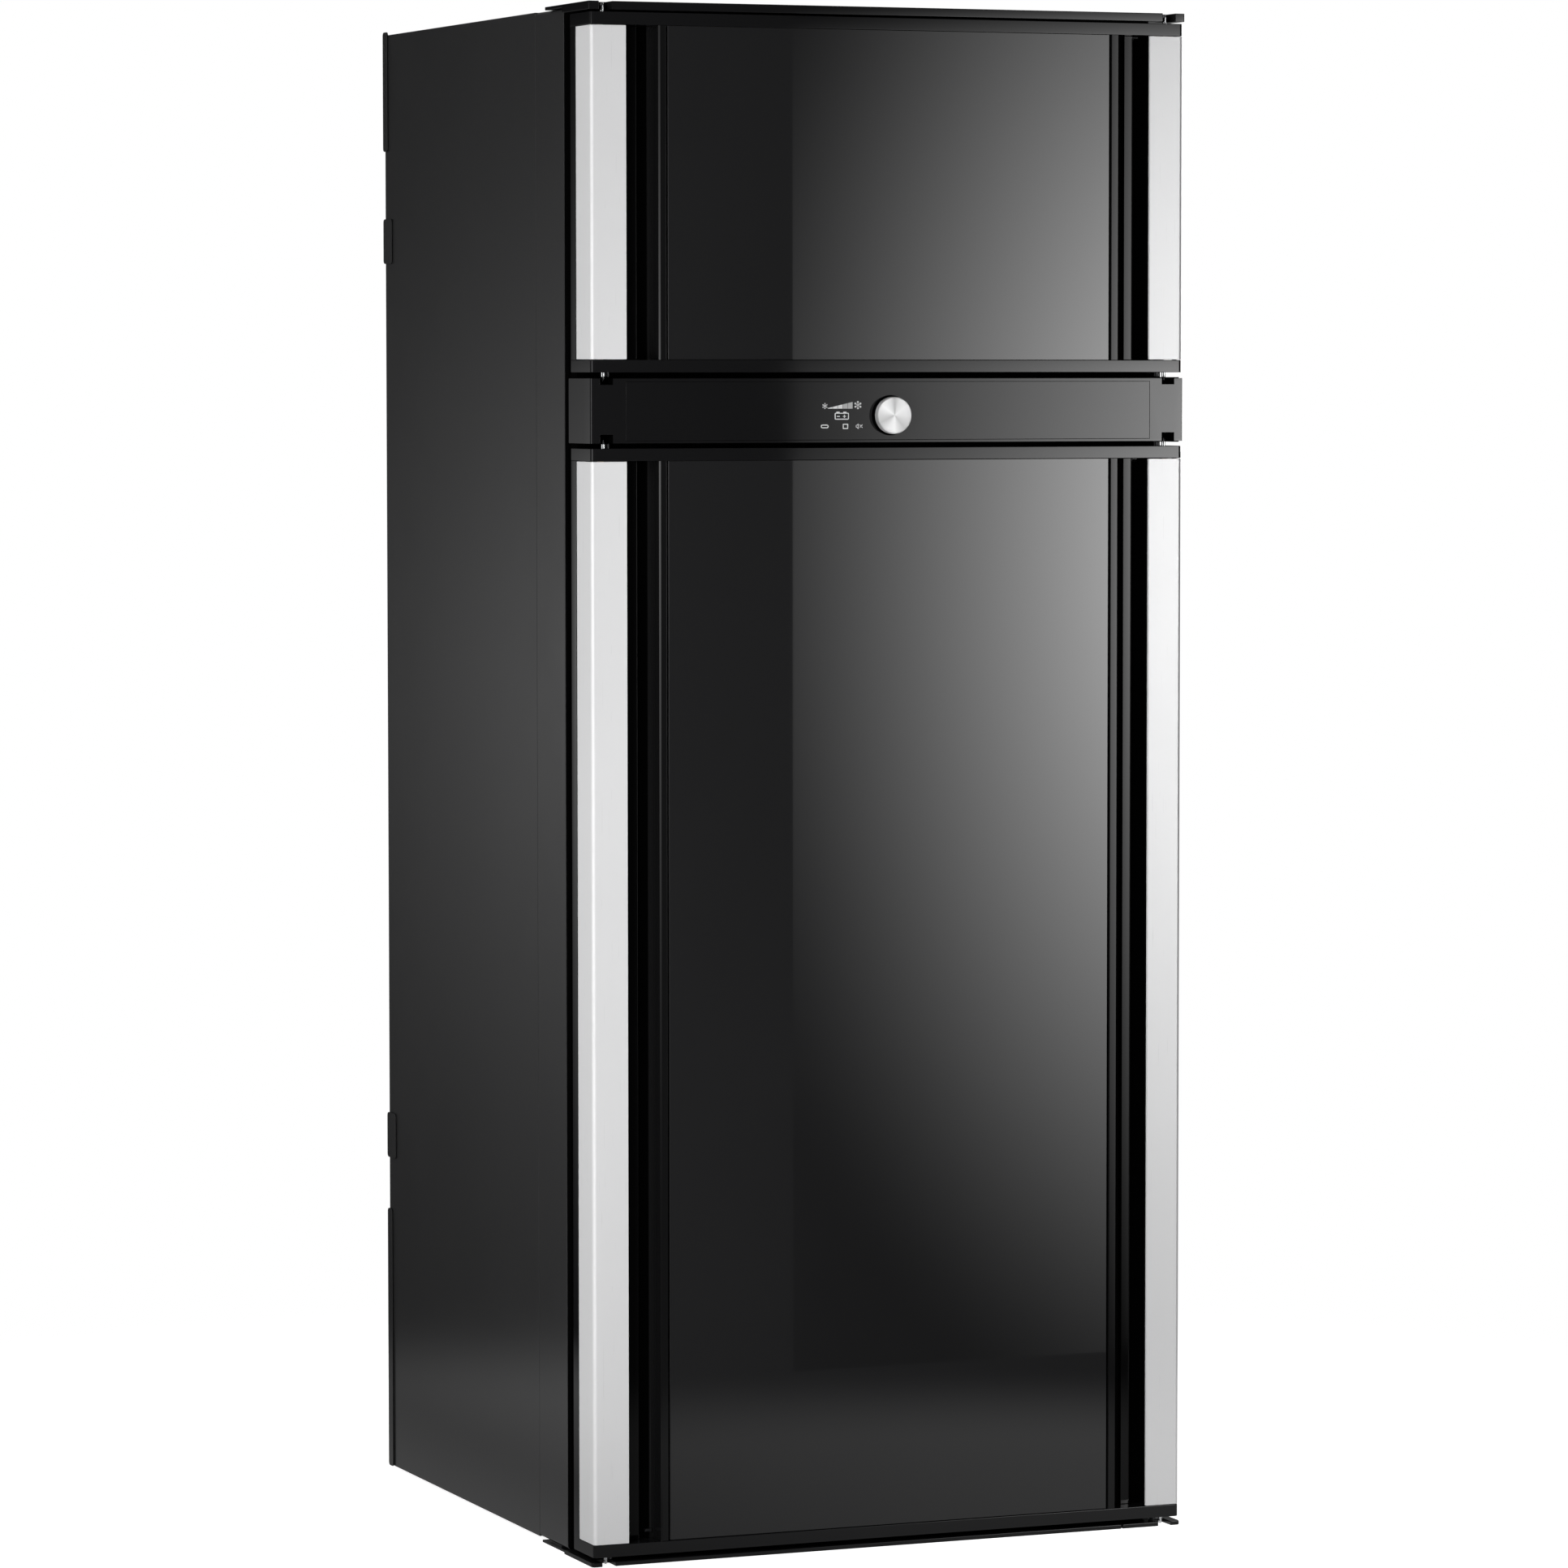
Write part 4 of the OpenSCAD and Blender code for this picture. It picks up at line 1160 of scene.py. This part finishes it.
def tray_shape(x, depth, z, wall, radius, notch=None):
    """An open-topped box with rounded corners. A notch is cut in its front, between
    two values of x and down to a height."""
    (left, right), sill = notch or ((0, 0), z[1])
    shape = bmesh.new()
    block(shape, x, depth, z)
    if notch:
        split(shape, (left, right), [sill])
    opened(shape, lambda a, d, b: b > z[1] - 0.01 or (
        d < depth[0] + 0.01 and left < a < right and b > sill))
    rounded(shape, radius, 4)
    walled(shape, wall)
    return shape


def make_drawer():
    x, depth, z = reach("crisper_drawer")
    front = depth[0]
    shape = tray_shape(x, depth, z, 2.3, 9, ((-60, 60), 372))
    soft_block(shape, (-66, 66), (front + 0.1, front + 4.5), (366, 371.5), 1, 3)
    finished("vegetable_drawer", shape, "clear_plastic", "crisper_drawer", body="drawer")


def make_bins():
    (_, half), depth, _ = reach("fridge_door_bins")
    shape = bmesh.new()
    for z in ((64, 150), (345, 425), (640, 705)):
        joined(shape, tray_shape((-half, half), depth, z, 2.4, 7))
        soft_block(shape, (9 - half, half - 9), (depth[1] - 3.4, depth[1] - 0.05),
                   (z[1] - 6, z[1] - 0.3), 1.2, 3)
    finished("door_bins", shape, "clear_plastic", "fridge_door_bins",
             body="fridge_door")


def make_door_inside(kind, low, high, ridge_depth):
    """The white inner sheet of a door with its raised ridges, and the seal round it."""
    node = f"{kind}_door_liner"
    x, _, z = reach(node)
    start, sheet = 46.6, 47
    shape = bmesh.new()
    block(shape, x, (45, sheet), z)
    rounded(shape, 0.6)
    for sign in (-1, 1):
        ridge = bmesh.new()
        prism(ridge, [(start, low), (60, low), (ridge_depth, low + 8),
                      (ridge_depth, high - 8), (60, high), (start, high)],
              mirror_span(sign, 200, 212), "x")
        rounded(ridge, 2.5, 4, lambda x, d, z, run: d > sheet)
        joined(shape, ridge)
    for level in (low, high - 8):
        soft_block(shape, (-211.5, 211.5), (start, 67.8), (level + 0.1, level + 7.9), 2.2,
                   4, lambda x, d, z, run: d > sheet)
    finished(f"{kind}_door_inner", shape, "white_plastic", node, body=f"{kind}_door")

    node = f"{kind}_door_gasket"
    x, (start, end), z = reach(node)
    shape = bmesh.new()
    framed(shape, [(3, start), (3, start + 1.5), (0.6, start + 3), (0, start + 4.5),
                   (1.6, start + 6), (0.3, start + 7.6), (1.8, start + 9.2),
                   (0.6, start + 10.6), (0.4, end - 0.6), (1.2, end), (10, end),
                   (11, end - 1), (11.4, end - 2.6), (17.5, end - 4), (20, end - 3),
                   (19, end - 5), (13, end - 7.5), (12, start + 3), (14, start + 1.5),
                   (14, start)], x, z)
    finished(f"{kind}_door_seal", shape, "gasket_rubber", node, body=f"{kind}_door")


make_liners()
make_shelves()
make_freezer_shelf()
make_freezer_plate()
make_lamp_cover()
make_drawer()
make_bins()
make_door_inside("freezer", 985, 1195, 68)
make_door_inside("fridge", 52, 858, 95)


# ---------- machine compartment ----------

PUMP = (-125, 445)           # upright axis of the compressor: x and depth
FAN = (97, 112)              # level axis of the fan: x and height
DRYER = (-218, 478)          # upright axis of the filter dryer: x and depth
WALL = reach("terminal_block")[1][0]     # rear face of the cabinet's back
AROUND = [(x, y) for x in (-1, 1) for y in (-1, 1)]          # four corners


def make_compressor():
    """Steel can with a welded seam on a foot plate, and the rubber feet under it."""
    x, depth = PUMP
    radius, edge, height, seam = 60, 26, 128, 64
    profile = [(0, 0)] + arc((edge, radius - edge), edge, 180, 90, 8)
    profile += [(seam - 3, radius), (seam - 2.4, radius + 2.2), (seam - 1, radius + 3),
                (seam + 1, radius + 3), (seam + 2.4, radius + 2.2), (seam + 3, radius)]
    profile += arc((height - edge, radius - edge), edge, 90, 0, 8) + [(height, 0)]
    shape = bmesh.new()
    turned(shape, profile, at(x, depth, 27), "z", 64)
    plate = bmesh.new()
    prism(plate, rounded_box((x - 98, x + 98), (depth - 52, depth + 52), 12), (24, 27.6))
    rounded(plate, 0.8, sharper=60)
    joined(shape, plate)
    for side in (-24, 24):                   # pipe sockets in the lid
        turned(shape, [(120, 0), (120, 6.5), (126, 6.2), (127.6, 4.8), (127.9, 0)],
               at(x + side, depth, 27), "z", 32)
    finished("compressor_can", shape, "black_steel", "compressor")

    shape = bmesh.new()
    for a, b in AROUND:
        turned(shape, [(0, 0), (0, 10.2), (0.8, 11), (4.6, 11), (6.4, 9), (11, 9),
                       (12.8, 11), (16.7, 11), (17.5, 10.2), (17.5, 0)],
               at(x + 84 * a, depth + 40 * b, 6.4), "z", 32)
    finished("rubber_grommets", shape, "foot_rubber", "compressor_grommets")


def make_controller():
    """Finned cover of the compressor's electronics, with two cable glands below."""
    x, (front, back), z = reach("controller_box")
    face = back - 5
    shape = bmesh.new()
    block(shape, x, (front, face), z)
    rounded(shape, 3.5, 4)
    for k in range(6):
        left = x[0] + 5 + 15 * k
        soft_block(shape, (left, left + 4), (face - 1, back), (z[0] + 4, z[1] - 4), 0.9,
                   2, lambda x, d, z, run: d > face)
    for side in (-16, 16):
        turned(shape, [(1, 0), (1, 6), (-1.5, 6), (-1.5, 5), (-9, 5), (-10, 4), (-10, 0)],
               at(sum(x) / 2 + side, (front + face) / 2, z[0]), "z", 24)
    finished("controller_cover", shape, "black_fan_plastic", "controller_box")


def make_condenser():
    """A tube winding through close sheet fins between two end plates."""
    x, depth, z = reach("condenser")
    start, end, plate, fin, pitch = -18, 212, 1.5, 0.7, 3.9
    shape = bmesh.new()
    for k in range(57):
        left = start + 4.5 + pitch * k
        block(shape, (left, left + fin), depth, z)
    for left in (start, end - plate):
        block(shape, (left, left + plate), (depth[0] + 0.5, depth[1] - 0.5), z)
    finished("condenser_fins", shape, "galvanised_steel", "condenser")
    shape = bmesh.new()
    tube(shape, winding(range(42, 190, 20), (x[0] + 10, x[1] - 4),
                        lambda x, z: at(x, sum(depth) / 2, z)), 3.6, 9.6)
    finished("condenser_tube", shape, "copper")


def make_fan():
    """Fan in a square shroud: ring, four arms, motor cover and seven curved blades."""
    x, z = FAN
    shape = bmesh.new()
    prism(shape, rounded_box((x - 62, x + 62), (z - 62, z + 62), 6), (434, 460), "depth")
    rounded(shape, 0.8, sharper=60)
    cutter = bmesh.new()
    turned(cutter, [(-1, 0), (-1, 59), (2.5, 57), (23.5, 57), (27, 59), (27, 0)],
           at(x, 434, z), steps=72)
    for a, b in AROUND:
        turned(cutter, [(-1, 0), (-1, 2.2), (27, 2.2), (27, 0)],
               at(x + 52 * a, 434, z + 52 * b), steps=20)
    shape = carved(shape, cutter)
    arms = bmesh.new()
    for angle in (45, 135, 225, 315):
        verts = block(arms, (x + 15, x + 59), (455.2, 459), (z - 3, z + 3))
        bmesh.ops.rotate(arms, cent=at(x, 457, z), verts=verts,
                         matrix=Matrix.Rotation(math.radians(angle), 3, "Y"))
    for side in (-50, 50):                   # feet
        block(arms, (x + side - 9, x + side + 9), (436, 458), (6.4, z - 61))
    rounded(arms, 0.9)
    turned(arms, [(0, 0), (0, 20), (6, 20), (7.4, 18.6), (7.4, 0)], at(x, 452.6, z))
    turned(arms, [(-15.6, 0), (-15.6, 1.6), (-15.2, 2), (0.5, 2), (0.5, 0)],
           at(x, 452.6, z), steps=24)
    joined(shape, arms)
    finished("fan_housing", shape, "black_fan_plastic", "fan_shroud")

    shape = bmesh.new()
    turned(shape, [(0, 2.3), (0, 17.2), (1.8, 19), (15, 19), (15, 2.3)],
           at(x, 436, z), steps=64, closed=True)
    for k in range(7):
        blade = bmesh.new()
        bmesh.ops.create_grid(blade, x_segments=8, y_segments=6, size=0.5)
        for vert in blade.verts:
            out, across = vert.co.x + 0.5, vert.co.y * 2     # 0 to 1, and -1 to 1
            radius = 17.5 + 35.5 * out
            turn = (k / 7 * 2 * math.pi + math.radians(14) * out ** 2
                    + across * (7.5 + 4.5 * out) / radius)
            vert.co = at(x + radius * math.cos(turn),
                         443.5 + 8.6 * across + 1.4 * (1 - across ** 2),
                         z + radius * math.sin(turn))
        bmesh.ops.solidify(blade, geom=blade.faces[:], thickness=1.7 * MM)
        joined(shape, blade)
    finished("fan_wheel", shape, "black_fan_plastic", "fan_impeller", body="fan")


def make_pipework():
    """The filter dryer, and the copper pipes between the machine's parts."""
    x, depth = PUMP
    shape = bmesh.new()
    turned(shape, [(0, 0), (0, 3.5), (2.5, 3.8), (7, 6.2), (11, 8.6), (14, 9), (90, 9),
                   (93, 8.6), (97, 6.2), (101.5, 3.8), (104, 3.5), (104, 0)],
           at(*DRYER, 48), "z", 40)
    finished("dryer_capsule", shape, "copper", "filter_dryer")

    shape = bmesh.new()
    for radius, points in (
            (4, [(x - 25, depth, 155.1), (x - 25, depth, 205), (x - 25, 480, 205),
                 (x - 25, 480, 300), (x - 25, WALL, 300)]),
            (3, [(x + 25, depth, 155.1), (x + 25, depth, 210), (-60, depth, 210),
                 (-60, 414, 210), (10, 414, 210), (10, 414, 196.2)]),
            (3, [(*DRYER, 152.2), (*DRYER, 320), (DRYER[0], WALL, 320)]),
            (3, [(-22.5, 418.2, 39), (-22.5, 520, 39), (-232, 520, 39), (-232, 478, 39),
                 (*DRYER, 39), (*DRYER, 47.8)])):
        tube(shape, [at(*point) for point in points], radius, 13)
    finished("copper_pipes", shape, "copper", "refrigerant_tubes")


def make_back_fittings():
    """Mains terminals with their screws, and the barbed drain spout."""
    x, depth, z = reach("terminal_block")
    shape, cutter, screws = bmesh.new(), bmesh.new(), bmesh.new()
    block(shape, x, depth, z)
    rounded(shape, 1.4, 3)
    for k in range(4):
        place = at(x[0] + 10 + 20 * k, 472, sum(z) / 2)
        turned(cutter, [(0, 0), (0, 4), (11, 4), (11, 0)], place, steps=32)
        turned(screws, [(0.5, 0), (0.5, 3.3), (2.6, 3.3), (3.2, 2.6), (3.2, 0)], place,
               steps=32)
    finished("terminal_carrier", carved(shape, cutter), "terminal_plastic",
             "terminal_block")
    finished("terminal_screws", screws, "bright_steel")
    shape = bmesh.new()
    turned(shape, [(0, 3.4), (0, 13.4), (0.6, 14), (2.4, 14), (3, 13.4), (3, 5.8),
                   (3.8, 5), (15, 5), (15, 5.7), (19, 4.6), (19, 5.5), (23, 4.4),
                   (23, 5.2), (27, 4.2), (27, 3.4)], at(0, WALL, 262), closed=True)
    finished("drain_nozzle", shape, "white_plastic", "drain_spout")


def make_finned_plate():
    """Aluminium cold plate at the back of the fridge, its fins upright."""
    (_, half), (front, back), z = reach("fridge_evaporator")
    sheet, fins, pitch = (416, 418), 18, 20
    shape = bmesh.new()
    block(shape, (-half, half), sheet, z)
    for k in range(fins):
        middle = (k - (fins - 1) / 2) * pitch
        block(shape, (middle - 0.8, middle + 0.8), (front, sheet[0] + 0.4),
              (z[0] + 6, z[1] - 6))
    rounded(shape, 0.35)
    length = back - 417
    for x in (-150, 150):
        for level in (500, 740):             # pegs that hold it off the liner
            turned(shape, [(0, 0), (0, 5), (length, 5), (length, 0)], at(x, 417, level),
                   steps=32)
    finished("finned_plate", shape, "evaporator_aluminium", "fridge_evaporator")


make_compressor()
make_controller()
make_condenser()
make_fan()
make_pipework()
make_back_fittings()
make_finned_plate()
finished("drip_tray", tray_shape(*reach("base_tray"), 1.5, 4), "galvanised_steel",
         "base_tray")


# ---------- studio ----------

BLACK = (0, 0, 0, 1)
FLOOR_HALF = 1.3             # in metres, like every size of the studio
MIDDLE = (0, 0, 0.62)


def stage_sheet(name, corners, paint):
    mesh = bpy.data.meshes.new(name)
    mesh.from_pydata(corners, [], [(0, 1, 2, 3)])
    mesh.materials.append(paint.material)
    sheet = bpy.data.objects.new(name, mesh)
    SCENE.collection.objects.link(sheet)
    return sheet


def floor_sheet(name, paint, height, start):
    """A square floor whose paint fades out from a distance on."""
    x, y, _ = paint.axes()
    away = (x * x + y * y) ** 0.5
    paint.set(Alpha=paint.smooth(away, start, 1.2, 1, 0))
    return stage_sheet(name, [(FLOOR_HALF * a, FLOOR_HALF * b, height) for a, b in (
        (-1, -1), (1, -1), (1, 1), (-1, 1))], paint)


def make_floor():
    """A pale floor that gives way to the white background a step from the object. The
    sheet over it, which the camera doesn't see, is the one that glossy faces mirror."""
    paint = Paint("floor_paint", "none", Roughness=0.9, Emission_Strength=1.0,
                  Specular_IOR_Level=0, Emission_Color=(0.75, 0.75, 0.75, 1))
    paint.set(Base_Color=paint.blend(paint.noise(2, 3), grey(0.76), grey(0.80)))
    floor = floor_sheet("floor", paint, 0, 0.45)
    floor.visible_glossy = floor.visible_diffuse = False

    light = Paint("floor_light", "none", Base_Color=BLACK, Emission_Strength=1.0,
                  Specular_IOR_Level=0)
    x, _, _ = light.axes()
    right = (x * 0.7 + 0.4).function("MAXIMUM", 0.13)
    far_left = (x * -0.8 - 0.3).function("MAXIMUM", 0)
    light.set(Emission_Color=right + far_left)
    over = floor_sheet("floor_light", light, 0.0001, 0.75)
    over.visible_camera = over.visible_shadow = False


def make_glow(name, place, across, height, centre, spread, strength):
    """A field of light that fades out from its centre, and that only glossy faces
    mirror. It stands at one x or one y, and spans a (low, high) along the other."""
    paint = Paint(name, "none", Base_Color=BLACK, Emission_Strength=strength,
                  Specular_IOR_Level=0)
    x, y, z = paint.axes()
    axis, value = place
    along = y if axis == "x" else x
    far = ((along - centre[0]) / spread[0]) ** 2 + ((z - centre[1]) / spread[1]) ** 2
    near = (1 - far ** 0.5).function("MAXIMUM", 0)
    paint.set(Emission_Color=near ** 2)
    (low, high), (bottom, top) = across, height
    card = stage_sheet(name, [(value, a, b) if axis == "x" else (a, value, b) for a, b in (
        (low, bottom), (high, bottom), (high, top), (low, top))], paint)
    card.visible_camera = card.visible_diffuse = card.visible_shadow = False
    card.visible_transmission = False


def make_world():
    """White for the camera, and a dim grey elsewhere, dimmest in front of the object."""
    world = bpy.data.worlds.new("studio")
    world.use_nodes = True
    net = Net(world.node_tree)
    seen = net.value(net.add("LightPath"), "Is Camera Ray")
    way = net.add("SeparateXYZ", None, {"Vector": net.add("TexCoord").outputs["Generated"]})
    behind = net.smooth(net.value(way, 1), -0.3, 0.5)
    dim = net.blend(behind, grey(0.055, 0.002), grey(0.13))
    sky = net.add("Background", None, {"Color": net.blend(seen, dim, grey(1.0))})
    net.add("OutputWorld", None, {"Surface": sky})
    SCENE.world = world


def make_lamp(name, place, target, size, power, gloss=False):
    data = bpy.data.lights.new(name, "AREA")
    data.shape, data.size, data.size_y = "RECTANGLE", size[0], size[1]
    data.energy = power
    lamp = bpy.data.objects.new(name, data)
    lamp.location = place
    way = Vector(target) - Vector(place)
    lamp.rotation_euler = way.to_track_quat("-Z", "Y").to_euler()
    lamp.visible_glossy, lamp.visible_camera = gloss, False
    SCENE.collection.objects.link(lamp)


make_floor()
make_glow("front_glow", ("y", -3.2685), (1.132, 3.1), (-0.352, 2.3), (1.906, 0.75),
          (0.966, 1.359), 16.5)
make_glow("side_glow", ("y", 3.0), (-2.6, -0.9), (-1, 3), (-1.55, 0.56), (0.42, 0.95),
          0.8)
make_glow("left_glow", ("x", -3.0), (-3.2, 0.2), (-0.4, 2.2), (-1.4, 0.85), (1.5, 1.0),
          5.5)
make_world()
make_lamp("key", (-1.15, -1.15, 0.43), (-0.25, -0.25, 0.43), (0.6, 2.4), 26)
make_lamp("fill", (3.6, -1.6, 1.6), MIDDLE, (1.4, 2.0), 12)
make_lamp("front", (-0.9, -5.0, 1.6), MIDDLE, (2.0, 2.4), 4)
make_lamp("top", (0, 0.4, 3.4), (0, 0, 0), (2.6, 2.6), 20)
make_lamp("rear", (-1.8, 4.2, 2.2), MIDDLE, (2.0, 2.0), 60)
make_lamp("rear_side", (3.2, 3.0, 1.8), MIDDLE, (1.6, 2.0), 50, gloss=True)
